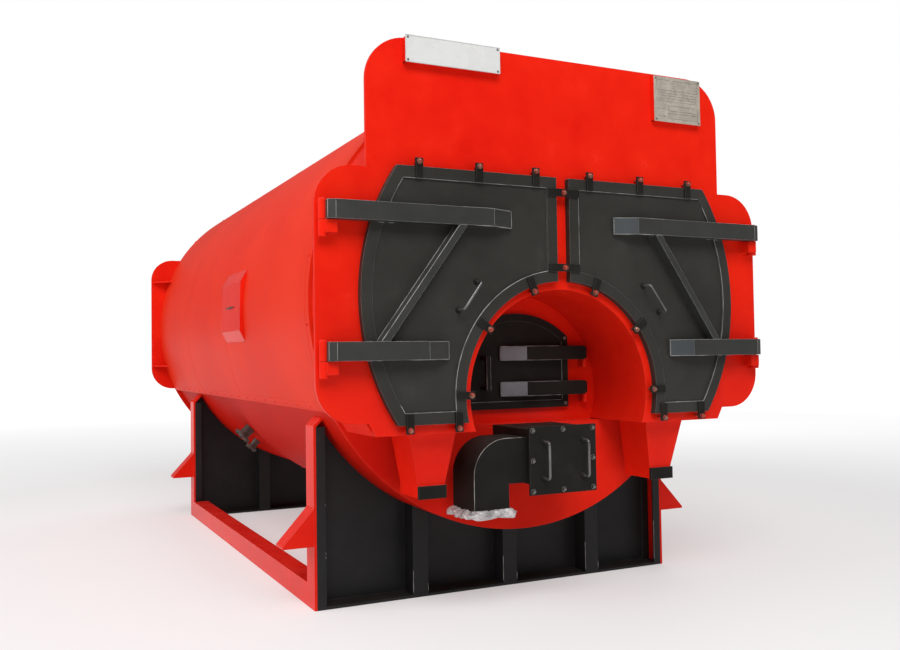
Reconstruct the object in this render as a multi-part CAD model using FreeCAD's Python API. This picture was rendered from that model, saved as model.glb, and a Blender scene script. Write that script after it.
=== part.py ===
"""Solid-fuel smoke-tube boiler: horizontal shell on two saddles, smoke-box front with two
hinged doors, and a fire door set back in an arched niche.  Millimetres, +Z up, front on -Y."""
import FreeCAD
import Part
import math
import os

V = FreeCAD.Vector

# ---------------------------------------------------------------- front plate
PLATE_T = 16.0            # front plate thickness
CLAD_R = 1081.0           # clad shell radius
EAR_X = CLAD_R + 69.0     # half width over the ears
EAR_TOP = 1929.0
EAR_BOTTOM = 878.0
EAR_R = 165.0             # ear corner radius
BLOCK_X = 927.0           # half width of the upper block
BLOCK_TOP = 2484.0
BLOCK_R = 190.0
FOOT_X = 896.0            # half width at the plate's lower edge
FOOT_Z = 823.0
ARCH_Z = 975.0            # centre height of the niche and furnace
ARCH_R = 464.0
# ---------------------------------------------------------------- shell
SHELL_Z = 1398.0          # shell axis height
LAG_T = 29.0              # lagging and cladding over the bare shell
WRAP_T = 15.0             # cladding over the smoke box and the tube plate
SHELL_T = 14.0
BOX_T = 8.0               # smoke-box wall
BOX_DEPTH = 356.0         # front plate face to tube plate
TUBE_PLATE_T = 20.0
BAND_START = 310.0        # front edge of the upper cladding
CLAD_STOP = 2234.0        # rear edge of the lower cladding
SEAM_DEG = 27.2           # cladding seam below the shell axis
REAR_Y = 4331.0
REAR_T = 16.0
REAR_LIFT = 38.0          # rear ears stand this much higher than the front ones
# ---------------------------------------------------------------- niche and fire door
NICHE_T = 8.0
FURN_FACE = 426.0         # furnace front plate face
FURN_T = 14.0
LEDGE_Z = 820.0
LEDGE_T = 12.0
FIRE_X = ARCH_R - 171.0   # fire door half width
FIRE_BOTTOM = 888.0
FIRE_SIDE = ARCH_Z + ARCH_R - 203.0
FIRE_TOP = ARCH_Z + ARCH_R - 89.0
FIRE_T = 24.0
FIRE_RIM = 36.0           # raised edge round the fire door
FIRE_DISH = 6.0
FIRE_GAP = 1.0            # seal between fire door and furnace front
FIRE_STRAP_H = 68.0
FIRE_STRAP_D = 45.0
FIRE_STRAP_Z = (ARCH_Z + 9.0, ARCH_Z + 0.392 * ARCH_R)
FIRE_STRAP_FREE = -98.0
FIRE_STRAP_END = ARCH_R - 98.0
FIRE_AXIS = (ARCH_R - 81.0, 390.0)
TUBE_R = ARCH_R - 16.0    # furnace tube outer radius
TUBE_LEN = 2600.0
GRATE_Z = 812.0
# ---------------------------------------------------------------- smoke-box doors
DOOR_X0 = 33.0            # inner edge from the centre line
DOOR_TOP = 1939.0
DOOR_BOTTOM = 865.0
DOOR_R = 968.0            # outer edge, about the shell axis
DOOR_ARCH_R = ARCH_R + 36.0   # inner edge, about the niche centre
DOOR_T = 33.0
DOOR_GAP = 1.0            # seal between door and plate
RIM_W = 50.0              # raised rim round the door panel
DISH = 8.0                # panel set back inside the rim
OPEN_IN = 62.0            # plate opening inside the door edge
STRAP_H = 76.0
STRAP_D = 50.0
STRAP_Z = (1172.0, 1735.0)
STRAP_FREE = (580.0, 270.0)
STRAP_END = EAR_X - 34.0
STRAP_BEVEL = 112.0
STRAP_CHAMFER = (30.0, 13.0)
BRACE_W = 30.0
BRACE_X = {"left": (524.0, 882.0), "right": (495.0, 828.0)}   # top and lower end
HINGE_X = EAR_X - 29.0    # smoke-box door hinge axis
HINGE_Y = -23.0
EYE_R = 20.0
EYE_GAP = 2.0             # between the fixed knuckle and the moving eye
PIN_R = 11.0
PIN_FIT = 0.05            # radial running clearance
LEAF_T = 9.0
KNUCKLE_H = 66.0
BLOCK_X0, BLOCK_X1 = -50.0, -2.0   # square hinge block below each strap, from the axis
BLOCK_H = 52.0
BLOCK_OUT = 56.0
ROD_R = 6.0               # handle rod radius
GRIP_OUT = 50.0
HANDLE = ((440.0, 1463.0), (528.0, 1342.0))
LUG_W = 34.0
LUG_T = 10.0
LUG_IN = 68.0             # lug reach over the rim, from its bolt
LUG_OUT = 15.0
CENTRE_LUG = (81.0, 11.0, 16.0)   # reach, left lug's end, right lug's end
BOLT_R = 6.0
NUT_AF = 20.0
NUT_H = 11.0
TOP_BOLTS = (142.0, 424.0, 706.0)
LOW_BOLTS = (537.0, 761.0)
ARCH_BOLT_DEG = (70.6, 36.5, 0.6)
ARCH_BOLT_R = ARCH_R + 14.0
MID_BOLT_Z = (1535.0, 1871.0)
# ---------------------------------------------------------------- saddles and skids
SADDLE_Y = (561.0, 3445.0)
SADDLE_X = 984.0
SADDLE_D = 116.0
SADDLE_TOP = 837.0
WEB_T = 12.0
BASE_T = 12.0
LIP_W = 44.0              # front lip of the saddle's side channel
RIB_FLANGE = 72.0
FLANGE_T = 8.0
RIB_X = (-490.0, 0.0, 490.0)
SKID_H = 108.0
SKID_W = 100.0
SKID_T = 10.0
LUG_REACH = 146.0         # jacking bracket reach outside the saddle
LUG_TOP = 459.0
LUG_LOW = 290.0
# ---------------------------------------------------------------- fittings
HOP_TOP = (505.0, 724.0, 60.0, 270.0)      # x0, x1, y0, y1 at the smoke-box floor
HOP_LOW = (548.0, 672.0, 92.0, 290.0)
HOP_LOW_Z = 596.0
HOP_DUCT_H = 52.0
HOP_T = 5.0
CAP_T = 14.0
ASH_X = 165.0
ASH_T = 6.0
ASH_Z = (577.0, 819.0)
COVER_X = 175.0
COVER_Z = (529.0, 831.0)
COVER_T = 10.0
COVER_GRIP_X = 103.0
COVER_GRIP_Z = (601.0, 763.0)
DUCT_Y = (42.0, 250.0)
DUCT_Z = (583.0, 783.0)
DUCT_X = (-430.0, -258.0)
DUCT_END = 452.0
DUCT_R = 160.0
DUCT_T = 5.0
WRAP_Z = (436.0, 478.0)
WRAP_FILM = (42.0, 24.0)  # film beyond the duct across and front to back
SIDE_Y = (1486.0, 1940.0)
SIDE_PROFILE = ((-41.0, 1639.0), (-27.0, 1639.0), (13.0, 1570.0),     # x from the cladding
                (20.0, 1306.0), (-11.0, 1243.0), (-41.0, 1243.0))
NOZZLES = ((2560.0, -42.0, 58.0, 78.0), (2800.0, -50.0, 40.0, 70.0))
REAR_COVER_R = 905.0
REAR_COVER_T = 60.0
TITLE = (-757.0, -309.0, 2374.0, 2489.0)   # x0, x1, z0, z1
DATA = (529.0, 806.0, 2253.0, 2470.0)
SIGN_OUT = (27.0, 25.0)   # standoff depth of the title and data plates
SIGN_T = 3.0


# ---------------------------------------------------------------- shape helpers
def box(x0, x1, y0, y1, z0, z1):
    return Part.makeBox(x1 - x0, y1 - y0, z1 - z0, V(x0, y0, z0))


def cyl_y(x, z, r, y0, y1):
    return Part.makeCylinder(r, y1 - y0, V(x, y0, z), V(0, 1, 0))


def cyl_z(x, y, r, z0, z1):
    return Part.makeCylinder(r, z1 - z0, V(x, y, z0), V(0, 0, 1))


def ring_y(r0, r1, y0, y1, z=SHELL_Z):
    return cyl_y(0, z, r1, y0, y1).cut(cyl_y(0, z, r0, y0 - 1, y1 + 1))


def slab(edges, y0, y1):
    """Extrude a closed outline drawn in XZ from y0 to y1."""
    face = Part.Face(Part.Wire(edges))
    return moved(face.extrude(V(0, y1 - y0, 0)), y=y0)


def poly(points, y0, y1):
    wire = Part.makePolygon([V(x, 0, z) for x, z in points] + [V(points[0][0], 0, points[0][1])])
    return moved(Part.Face(wire).extrude(V(0, y1 - y0, 0)), y=y0)


def poly_z(points, z0, z1):
    wire = Part.makePolygon([V(x, y, 0) for x, y in points] + [V(points[0][0], points[0][1], 0)])
    return moved(Part.Face(wire).extrude(V(0, 0, z1 - z0)), z=z0)


def moved(shape, x=0.0, y=0.0, z=0.0):
    copy = shape.copy()
    copy.translate(V(x, y, z))
    return copy


def mirror(shape):
    return shape.mirror(V(0, 0, 0), V(1, 0, 0))


def fuse(shapes):
    whole = shapes[0]
    if len(shapes) > 1:
        whole = whole.multiFuse(shapes[1:])
    return whole.removeSplitter()


def line(a, b):
    return Part.makeLine(V(a[0], 0, a[1]), V(b[0], 0, b[1]))


def arc(a, m, b):
    return Part.Arc(V(a[0], 0, a[1]), V(m[0], 0, m[1]), V(b[0], 0, b[1])).toShape()


def on(cx, cz, r, deg):
    return (cx + r * math.cos(math.radians(deg)), cz + r * math.sin(math.radians(deg)))


def corner(cx, cz, r, a0, a1):
    """Quarter-round corner as start, middle and end points."""
    return on(cx, cz, r, a0), on(cx, cz, r, (a0 + a1) / 2), on(cx, cz, r, a1)


def rod(points, r):
    """Bent round rod: straight lengths joined by balls at the bends."""
    parts = []
    for a, b in zip(points, points[1:]):
        a, b = V(*a), V(*b)
        parts.append(Part.makeCylinder(r, (b - a).Length, a, b - a))
    parts += [Part.makeSphere(r, V(*p)) for p in points[1:-1]]
    return fuse(parts)


def hexagon(cx, cz, af, y0, y1):
    r = af / math.sqrt(3)
    return poly([on(cx, cz, r, 60 * k + 30) for k in range(6)], y0, y1)


# ---------------------------------------------------------------- front plate and smoke box
def plate_outline():
    """Right and left halves of the eared front plate as one closed wire."""
    top = corner(BLOCK_X - BLOCK_R, BLOCK_TOP - BLOCK_R, BLOCK_R, 90, 0)
    ear = corner(EAR_X - EAR_R, EAR_TOP - EAR_R, EAR_R, 90, 0)
    low = corner(EAR_X - EAR_R, EAR_BOTTOM + EAR_R, EAR_R, 0, -90)
    step = (FOOT_X + 30.0, EAR_BOTTOM)
    right = [("l", (0, BLOCK_TOP), top[0]), ("a",) + top, ("l", top[2], (BLOCK_X, EAR_TOP)),
             ("l", (BLOCK_X, EAR_TOP), ear[0]), ("a",) + ear, ("l", ear[2], low[0]),
             ("a",) + low, ("l", low[2], step), ("l", step, (FOOT_X, FOOT_Z)),
             ("l", (FOOT_X, FOOT_Z), (0, FOOT_Z))]
    flip = lambda p: (-p[0], p[1])
    left = [(s[0],) + tuple(flip(p) for p in reversed(s[1:])) for s in reversed(right)]
    return [line(*s[1:]) if s[0] == "l" else arc(*s[1:]) for s in right + left]


def door_edges(inset):
    """Closed outline of the right smoke-box door, drawn inset from its edge."""
    x0, top, bottom = DOOR_X0 + inset, DOOR_TOP - inset, DOOR_BOTTOM + inset
    ro, ri = DOOR_R - inset, DOOR_ARCH_R + inset
    inner_top = (x0, ARCH_Z + math.sqrt(ri * ri - x0 * x0))
    outer_top = (math.sqrt(ro * ro - (top - SHELL_Z) ** 2), top)
    outer_low = (math.sqrt(ro * ro - (bottom - SHELL_Z) ** 2), bottom)
    inner_low = (math.sqrt(ri * ri - (bottom - ARCH_Z) ** 2), bottom)
    return [line(inner_top, (x0, top)), line((x0, top), outer_top),
            arc(outer_top, (ro, SHELL_Z), outer_low), line(outer_low, inner_low),
            arc(inner_low, on(0, ARCH_Z, ri, 35), inner_top)]


def arch_cut(r, y0, y1):
    return cyl_y(0, ARCH_Z, r, y0, y1)


def front_plate():
    plate = slab(plate_outline(), 0, PLATE_T).cut(arch_cut(ARCH_R, -1, PLATE_T + 1))
    hole = slab(door_edges(OPEN_IN), -1, PLATE_T + 1)
    return plate.cut(hole).cut(mirror(hole))


def smoke_box():
    r = CLAD_R - WRAP_T
    wall = ring_y(r - BOX_T, r, PLATE_T, BOX_DEPTH)
    wall = wall.cut(box(-2000, 2000, 0, 1000, -10, FOOT_Z))
    x1 = math.sqrt((r - BOX_T) ** 2 - (SHELL_Z - FOOT_Z) ** 2)
    x0 = math.sqrt((ARCH_R + NICHE_T) ** 2 - (ARCH_Z - FOOT_Z) ** 2)
    floor = box(x0, x1 + 4, PLATE_T, BOX_DEPTH, FOOT_Z, FOOT_Z + BOX_T)
    floor = floor.cut(arch_cut(ARCH_R + NICHE_T, 0, 1000)).common(cyl_y(0, SHELL_Z, r, 0, 1000))
    floor = floor.cut(hopper_mouth())
    return fuse([wall, floor, mirror(floor)])


def niche_liner():
    ring = ring_y(ARCH_R, ARCH_R + NICHE_T, PLATE_T, FURN_FACE, ARCH_Z)
    low = box(-1000, 1000, 0, 1000, 0, FOOT_Z)
    deep = box(-1000, 1000, BOX_DEPTH, 1000, 0, LEDGE_Z)
    return ring.cut(low).cut(deep)


def tube_plate():
    disc = cyl_y(0, SHELL_Z, CLAD_R - WRAP_T, BOX_DEPTH, BOX_DEPTH + TUBE_PLATE_T)
    rim = ring_y(CLAD_R - WRAP_T, CLAD_R, BOX_DEPTH, BOX_DEPTH + TUBE_PLATE_T)
    rim = rim.cut(above_seam())
    throat = arch_cut(ARCH_R + NICHE_T, 0, 1000).cut(box(-1000, 1000, 0, 1000, 0, LEDGE_Z - LEDGE_T))
    return fuse([disc, rim]).cut(throat)


def furnace_front():
    plate = arch_cut(ARCH_R + NICHE_T, FURN_FACE, FURN_FACE + FURN_T)
    hole = slab(fire_edges(40.0), 0, 1000)
    ledge = box(-1000, 1000, BOX_DEPTH, FURN_FACE, LEDGE_Z - LEDGE_T, LEDGE_Z)
    return fuse([plate.cut(hole), ledge.common(arch_cut(ARCH_R + NICHE_T, 0, 1000))])


def furnace_tube():
    y0, y1 = FURN_FACE + FURN_T, FURN_FACE + FURN_T + TUBE_LEN
    wall = ring_y(TUBE_R - 14.0, TUBE_R, y0, y1, ARCH_Z)
    back = cyl_y(0, ARCH_Z, TUBE_R, y1, y1 + 14.0)
    return fuse([wall, back])


def fire_grate():
    y0 = FURN_FACE + FURN_T
    half = math.sqrt((TUBE_R - 14.0) ** 2 - (ARCH_Z - GRATE_Z) ** 2)
    slab_ = box(-half, half, y0 + 60, y0 + 1500, GRATE_Z, GRATE_Z + 40)
    return slab_.common(cyl_y(0, ARCH_Z, TUBE_R - 14.0, y0, y0 + 1500))


# ---------------------------------------------------------------- shell
def above_seam():
    """Everything above the two cladding seams."""
    t = math.radians(SEAM_DEG)
    far = 3000.0
    drop = SHELL_Z - far * math.tan(t)
    return poly([(0, SHELL_Z), (far, drop), (far, 5000), (-far, 5000), (-far, drop)], -100, 5000)


def cladding_upper():
    band = ring_y(CLAD_R - WRAP_T, CLAD_R, BAND_START, BOX_DEPTH + TUBE_PLATE_T)
    long_ = ring_y(CLAD_R - LAG_T, CLAD_R, BOX_DEPTH + TUBE_PLATE_T, REAR_Y)
    return fuse([band, long_]).common(above_seam())


def cladding_lower():
    long_ = ring_y(CLAD_R - LAG_T, CLAD_R, BOX_DEPTH + TUBE_PLATE_T, CLAD_STOP)
    return long_.cut(above_seam())


def pressure_shell():
    r = CLAD_R - LAG_T
    return ring_y(r - SHELL_T, r, BOX_DEPTH + TUBE_PLATE_T, REAR_Y)


def rear_plate():
    z0, z1 = EAR_BOTTOM + REAR_LIFT, EAR_TOP + REAR_LIFT
    low = corner(EAR_X - EAR_R, z0 + EAR_R, EAR_R, 0, -90)
    top = corner(EAR_X - EAR_R, z1 - EAR_R, EAR_R, 90, 0)
    edges = [line((0, z1), top[0]), arc(*top), line(top[2], low[0]), arc(*low),
             line(low[2], (0, z0)), line((0, z0), (0, z1))]
    ears = slab(edges, REAR_Y, REAR_Y + REAR_T)
    return fuse([cyl_y(0, SHELL_Z, CLAD_R, REAR_Y, REAR_Y + REAR_T), ears, mirror(ears)])


def rear_gussets():
    parts = []
    for z in (EAR_BOTTOM + REAR_LIFT + 185.0, EAR_TOP + REAR_LIFT - 185.0):
        x = CLAD_R - 81.0
        wedge = poly_z([(x, REAR_Y), (EAR_X - 12, REAR_Y), (EAR_X - 12, REAR_Y - 30),
                        (x, REAR_Y - 190)], z - 6, z + 6)
        parts.append(wedge.cut(cyl_y(0, SHELL_Z, CLAD_R, 0, 5000)))
    return fuse(parts + [mirror(p) for p in parts])


def rear_cover():
    y = REAR_Y + REAR_T
    cover = cyl_y(0, SHELL_Z, REAR_COVER_R, y, y + REAR_COVER_T)
    return cover


def side_access_cover():
    cover = poly([(-CLAD_R - x, z) for x, z in SIDE_PROFILE], SIDE_Y[0], SIDE_Y[1])
    return cover.cut(cyl_y(0, SHELL_Z, CLAD_R, 0, 5000))


def shell_nozzles():
    parts = []
    r0 = CLAD_R - LAG_T
    for y, deg, r, out in NOZZLES:
        d = V(-math.cos(math.radians(deg)), 0, math.sin(math.radians(deg)))
        base = V(0, y, SHELL_Z) + d * (r0 - 40)
        stub = Part.makeCylinder(r * 0.6, 40 + out, base, d)
        flange = Part.makeCylinder(r, 14, V(0, y, SHELL_Z) + d * (r0 + out - 14), d)
        parts.append(fuse([stub, flange]).cut(cyl_y(0, SHELL_Z, r0, 0, 5000)))
    return Part.makeCompound(parts)


# ---------------------------------------------------------------- saddles
def seat_r(y):
    return CLAD_R if y < CLAD_STOP else CLAD_R - LAG_T


def side_profile(r):
    """Side flange with its lip bent in to the shell, drawn in XZ on the right."""
    x, z = SADDLE_X, SADDLE_TOP
    a = x + SHELL_Z - z
    t = (a - math.sqrt(a * a - 2 * (x * x + (SHELL_Z - z) ** 2 - r * r))) / 2
    w = WEB_T
    k = w * math.tan(math.radians(22.5))
    return [(x, 0), (x, z), (x - t - 20, z + t + 20), (x - t - 20 - w, z + t + 20 - w / 2),
            (x - w, z - k), (x - w, 0)]


def saddle_sides(y0):
    r = seat_r(y0)
    side = poly(side_profile(r), y0, y0 + SADDLE_D).cut(cyl_y(0, SHELL_Z, r, 0, 5000))
    return Part.makeCompound([side, mirror(side)])


def saddle(y0):
    r = seat_r(y0)
    x, z = SADDLE_X - WEB_T, SADDLE_TOP
    yw = y0 + SADDLE_D - WEB_T
    web = poly([(-x, BASE_T), (x, BASE_T), (x, z - 5), (0, z + x), (-x, z - 5)], yw, yw + WEB_T)
    ribs = [box(c - 6, c + 6, y0, yw, BASE_T, 1200) for c in RIB_X]
    ribs += [box(c + 6, c + RIB_FLANGE, y0, y0 + FLANGE_T, BASE_T, 1200) for c in RIB_X]
    ribs += [box(*sorted((s * x, s * (x - LIP_W))), y0, y0 + FLANGE_T, BASE_T, z - 5) for s in (-1, 1)]
    base = box(-x, x, y0, yw + WEB_T, 0, BASE_T)
    body = fuse([web, base] + ribs).cut(cyl_y(0, SHELL_Z, r, 0, 5000))
    sides = poly(side_profile(r), y0 - 1, y0 + SADDLE_D + 1)
    return body.cut(sides).cut(mirror(sides))


def skid():
    y0, y1 = SADDLE_Y[0] + SADDLE_D, SADDLE_Y[1]
    x = SADDLE_X
    outer = box(x - SKID_W, x, y0, y1, 0, SKID_H)
    return outer.cut(box(x - SKID_W - 1, x - SKID_T, y0 - 1, y1 + 1, SKID_T, SKID_H - SKID_T))


def jacking_bracket(y0):
    x = SADDLE_X
    return poly([(x, LUG_TOP), (x + LUG_REACH, LUG_LOW + 10), (x + LUG_REACH, LUG_LOW), (x, LUG_LOW)],
                y0 + 2, y0 + SADDLE_D - 2)


# ---------------------------------------------------------------- fittings under the smoke box
def rect_wire(x0, x1, y0, y1, z):
    return Part.makePolygon([V(x0, y0, z), V(x1, y0, z), V(x1, y1, z), V(x0, y1, z), V(x0, y0, z)])


def chute(t, top, low):
    """Tapered soot chute over a short level box; t shrinks it for the inside."""
    x0, x1, y0, y1 = HOP_TOP
    a, b, c, d = HOP_LOW
    body = Part.makeLoft([rect_wire(x0 + t, x1 - t, y0 + t, y1 - t, top),
                          rect_wire(a + t, b - t, c + t, d - t, HOP_LOW_Z)], True, True)
    return body, (a + t, b - t, c - (1 if t else 0), d - t, low, HOP_LOW_Z)


def hopper():
    low = HOP_LOW_Z - HOP_DUCT_H
    body, level = chute(0, FOOT_Z, low)
    inner, hollow = chute(HOP_T, FOOT_Z, low + HOP_T)
    return fuse([body, box(*level)]).cut(fuse([inner, box(*hollow)]))


def hopper_mouth():
    x0, x1, y0, y1 = HOP_TOP
    return box(x0 + HOP_T, x1 - HOP_T, y0 + HOP_T, y1 - HOP_T, FOOT_Z - 1, FOOT_Z + 50)


def hopper_cap():
    x0, x1, y0, _ = HOP_LOW
    return box(x0 - 3, x1 + 3, y0 - CAP_T, y0, HOP_LOW_Z - HOP_DUCT_H - 3, HOP_LOW_Z)


def ash_pit_box():
    body = box(-ASH_X, ASH_X, COVER_T, BOX_DEPTH, ASH_Z[0], ASH_Z[1])
    t = ASH_T
    body = body.cut(box(t - ASH_X, ASH_X - t, 0, 1000, ASH_Z[0] + t, ASH_Z[1] - t))
    return body.cut(box(-ASH_X - 1, t - ASH_X + 1, DUCT_Y[0] + DUCT_T, DUCT_Y[1] - DUCT_T,
                        DUCT_Z[0] + DUCT_T, DUCT_Z[1] - DUCT_T))


def ash_pit_cover():
    cover = box(-COVER_X, COVER_X, 0, COVER_T, COVER_Z[0], COVER_Z[1])
    xs = (-COVER_X + 17, 0, COVER_X - 17)
    zs = (COVER_Z[0] + 17, (COVER_Z[0] + COVER_Z[1]) / 2, COVER_Z[1] - 17)
    heads = [hexagon(x, z, 17, -8, 0) for x in xs for z in zs if (x, z) != (xs[1], zs[1])]
    return fuse([cover] + heads)


def cover_handles():
    z0, z1 = COVER_GRIP_Z
    return Part.makeCompound([
        rod([(x, 0, z0), (x, -GRIP_OUT, z0), (x, -GRIP_OUT, z1), (x, 0, z1)], ROD_R)
        for x in (-COVER_GRIP_X, COVER_GRIP_X)])


def duct_outline(t):
    """Elbow from the ash-pit box side, then down; t shrinks it for the bore."""
    x0, x1 = DUCT_X[0] + t, DUCT_X[1] - t
    z0, z1 = DUCT_Z[0] + t, DUCT_Z[1] - t
    r = DUCT_R - t
    end = DUCT_END - (1 if t else 0)
    side = -ASH_X + (1 if t else 0)
    q = corner(x0 + r, z1 - r, r, 180, 90)
    return [line((side, z0), (x1, z0)), line((x1, z0), (x1, end)), line((x1, end), (x0, end)),
            line((x0, end), q[0]), arc(*q), line(q[2], (side, z1)), line((side, z1), (side, z0))]


def air_duct():
    solid = slab(duct_outline(0), DUCT_Y[0], DUCT_Y[1])
    bore = slab(duct_outline(DUCT_T), DUCT_Y[0] + DUCT_T, DUCT_Y[1] - DUCT_T)
    return solid.cut(bore).cut(box(-ASH_X, ASH_X, 0, 500, 0, 1000))


def duct_film():
    x0, x1 = DUCT_X
    y0, y1 = DUCT_Y
    a, b = WRAP_FILM
    bag = box(x0 - a, x1 + a, y0 - b, y1 + b, WRAP_Z[0], WRAP_Z[1])
    return bag.cut(box(x0, x1, y0, y1, DUCT_END, 1000))


# ---------------------------------------------------------------- smoke-box doors
def rim_front():
    return -DOOR_GAP - DOOR_T


def door_panel():
    """Flat door with its panel set back inside a raised rim."""
    body = slab(door_edges(0), rim_front(), -DOOR_GAP)
    return body.cut(slab(door_edges(RIM_W), rim_front() - 1, rim_front() + DISH))


def door_strap(z, x_free):
    """Hollow-section strap with a bevelled free end, bedded down on to the panel."""
    back = rim_front()
    front = back - STRAP_D
    cx, cy = STRAP_CHAMFER
    pts = [(STRAP_END, back), (STRAP_END, front + cy), (STRAP_END - cx, front),
           (x_free + STRAP_BEVEL, front), (x_free, back - 6), (x_free, back)]
    bar = poly_z(pts, z - STRAP_H / 2, z + STRAP_H / 2)
    bar = bar.cut(cyl_z(HINGE_X, HINGE_Y, EYE_R, 0, 3000))
    heel = slab(door_edges(RIM_W), back, back + DISH)
    return fuse([bar, heel.common(box(x_free, STRAP_END, back, 0, z - STRAP_H / 2, z + STRAP_H / 2))])


def door_straps():
    return Part.makeCompound([door_strap(z, x) for z, x in zip(STRAP_Z, STRAP_FREE)])


def door_brace(side):
    back = rim_front()
    top_x, low_x = BRACE_X[side]
    z0, z1 = STRAP_Z[0] + STRAP_H / 2, STRAP_Z[1] - STRAP_H / 2
    slope = math.atan2(z1 - z0, low_x - top_x)
    w = BRACE_W / math.sin(slope) / 2
    outline = [(low_x - w, z0), (low_x + w, z0), (top_x + w, z1), (top_x - w, z1)]
    foot = poly(outline, back, back + DISH).common(slab(door_edges(RIM_W), back, back + DISH))
    return fuse([poly(outline, back - STRAP_D, back), foot])


def door_eyes():
    """Moving hinge eye and its leaf on the back of each strap."""
    parts = []
    back = rim_front()
    for z in STRAP_Z:
        z0, z1 = z - STRAP_H / 2, z + STRAP_H / 2
        eye = cyl_z(HINGE_X, HINGE_Y, EYE_R, z0, z1)
        leaf = box(STRAP_END - 120, HINGE_X, back, back + LEAF_T, z0 + 4, z1 - 4)
        dome = Part.makeSphere(EYE_R, V(HINGE_X, HINGE_Y, z1)).common(
            box(0, 2000, -500, 500, z1, z1 + 9))
        body = fuse([eye, leaf, dome])
        parts.append(body.cut(cyl_z(HINGE_X, HINGE_Y, PIN_R + PIN_FIT, z0 - 1, z1 - 8)))
    return Part.makeCompound(parts)


def hinge_knuckles():
    """Fixed block, knuckle and pin below each strap, welded to the ear."""
    parts = []
    for z in STRAP_Z:
        top = z - STRAP_H / 2 - EYE_GAP
        knuckle = cyl_z(HINGE_X, HINGE_Y, EYE_R, top - KNUCKLE_H, top)
        pin = cyl_z(HINGE_X, HINGE_Y, PIN_R, top - 20, z + STRAP_H / 2 - 12)
        block = box(HINGE_X + BLOCK_X0, HINGE_X + BLOCK_X1, -BLOCK_OUT, 0, top - BLOCK_H, top)
        parts.append(fuse([knuckle, pin, block]))
    return Part.makeCompound(parts)


def door_handle():
    out, face = rim_front() - GRIP_OUT, rim_front() + DISH
    a, b = HANDLE
    return rod([(a[0], face, a[1]), (a[0], out, a[1]), (b[0], out, b[1]), (b[0], face, b[1])], ROD_R)


def bolt_places():
    """(x, z, direction out of the door in degrees) for the clamp bolts of the right door."""
    places = [(x, DOOR_TOP + 19.0, 90.0) for x in TOP_BOLTS]
    places += [(x, DOOR_BOTTOM - 20.0, -90.0) for x in LOW_BOLTS]
    places += [on(0, ARCH_Z, ARCH_BOLT_R, d) + (180.0 + d,) for d in ARCH_BOLT_DEG]
    return places


def lug_at(x, z, deg):
    """Flat clamp lug from the door flange out to just past the bolt."""
    front = rim_front()
    tab = box(-LUG_IN, LUG_OUT, front - LUG_T, front, -LUG_W / 2, LUG_W / 2)
    tab.rotate(V(0, 0, 0), V(0, 1, 0), -deg)
    return moved(tab, x=x, z=z)


def door_lugs():
    lugs = [lug_at(*p) for p in bolt_places()]
    return Part.makeCompound(lugs)


def bolt_at(x, z):
    front = rim_front() - LUG_T
    head = hexagon(x, z, NUT_AF, front - NUT_H, front)
    stud = cyl_y(x, z, BOLT_R, front - NUT_H - 7, front - NUT_H)
    shank = cyl_y(x, z, BOLT_R, front + LUG_T, -DOOR_GAP)
    return [fuse([head, stud]), shank]


def door_bolts():
    return Part.makeCompound([s for x, z, _ in bolt_places() for s in bolt_at(x, z)])


def centre_lugs(side):
    """Lugs over the centre strip: the left door's carry the bolts, the right door's butt up."""
    front = rim_front()
    reach, left_end, right_end = CENTRE_LUG
    x0, x1 = (-reach, left_end) if side == "left" else (right_end, reach)
    return [box(x0, x1, front - LUG_T, front, z - LUG_W / 2, z + LUG_W / 2) for z in MID_BOLT_Z]


# ---------------------------------------------------------------- fire door
def fire_edges(inset):
    x, z0, z1, top = FIRE_X - inset, FIRE_BOTTOM + inset, FIRE_SIDE - inset * 0.5, FIRE_TOP - inset
    return [line((-x, z0), (-x, z1)), arc((-x, z1), (0, top), (x, z1)), line((x, z1), (x, z0)),
            line((x, z0), (-x, z0))]


def fire_face():
    return FURN_FACE - FIRE_GAP - FIRE_T


def fire_door_panel():
    body = slab(fire_edges(0), fire_face(), FURN_FACE - FIRE_GAP)
    return body.cut(slab(fire_edges(FIRE_RIM), fire_face() - 1, fire_face() + FIRE_DISH))


def fire_straps():
    back = fire_face()
    front = back - FIRE_STRAP_D
    heel = slab(fire_edges(FIRE_RIM), back, back + FIRE_DISH)
    parts = []
    for z in FIRE_STRAP_Z:
        z0, z1 = z - FIRE_STRAP_H / 2, z + FIRE_STRAP_H / 2
        pts = [(FIRE_STRAP_END, back), (FIRE_STRAP_END, front), (FIRE_STRAP_FREE + 130, front),
               (FIRE_STRAP_FREE, back - 6), (FIRE_STRAP_FREE, back)]
        foot = heel.common(box(FIRE_STRAP_FREE, FIRE_STRAP_END, 0, 1000, z0, z1))
        parts.append(fuse([poly_z(pts, z0, z1), foot]))
    return Part.makeCompound(parts)


def fire_eyes():
    x, y = FIRE_AXIS
    parts = []
    for z in FIRE_STRAP_Z:
        z0, z1 = z - FIRE_STRAP_H / 2 + 6, z + FIRE_STRAP_H / 2 - 6
        eye = cyl_z(x, y, 14.0, z0, z1)
        arm = box(FIRE_STRAP_END, x, y - 10, y + 4, z0, z1)
        parts.append(fuse([eye, arm]).cut(cyl_z(x, y, 8.0 + PIN_FIT, z0 - 1, z1 - 8)))
    return Part.makeCompound(parts)


def fire_knuckles():
    x, y = FIRE_AXIS
    parts = []
    for z in FIRE_STRAP_Z:
        top = z - FIRE_STRAP_H / 2 + 6 - EYE_GAP
        knuckle = cyl_z(x, y, 14.0, top - 44, top)
        pin = cyl_z(x, y, 8.0, top - 10, z + FIRE_STRAP_H / 2 - 18)
        foot = box(x - 11, x + 11, y, FURN_FACE, top - 44, top - 2)
        parts.append(fuse([knuckle, pin, foot]))
    return Part.makeCompound(parts)


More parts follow.
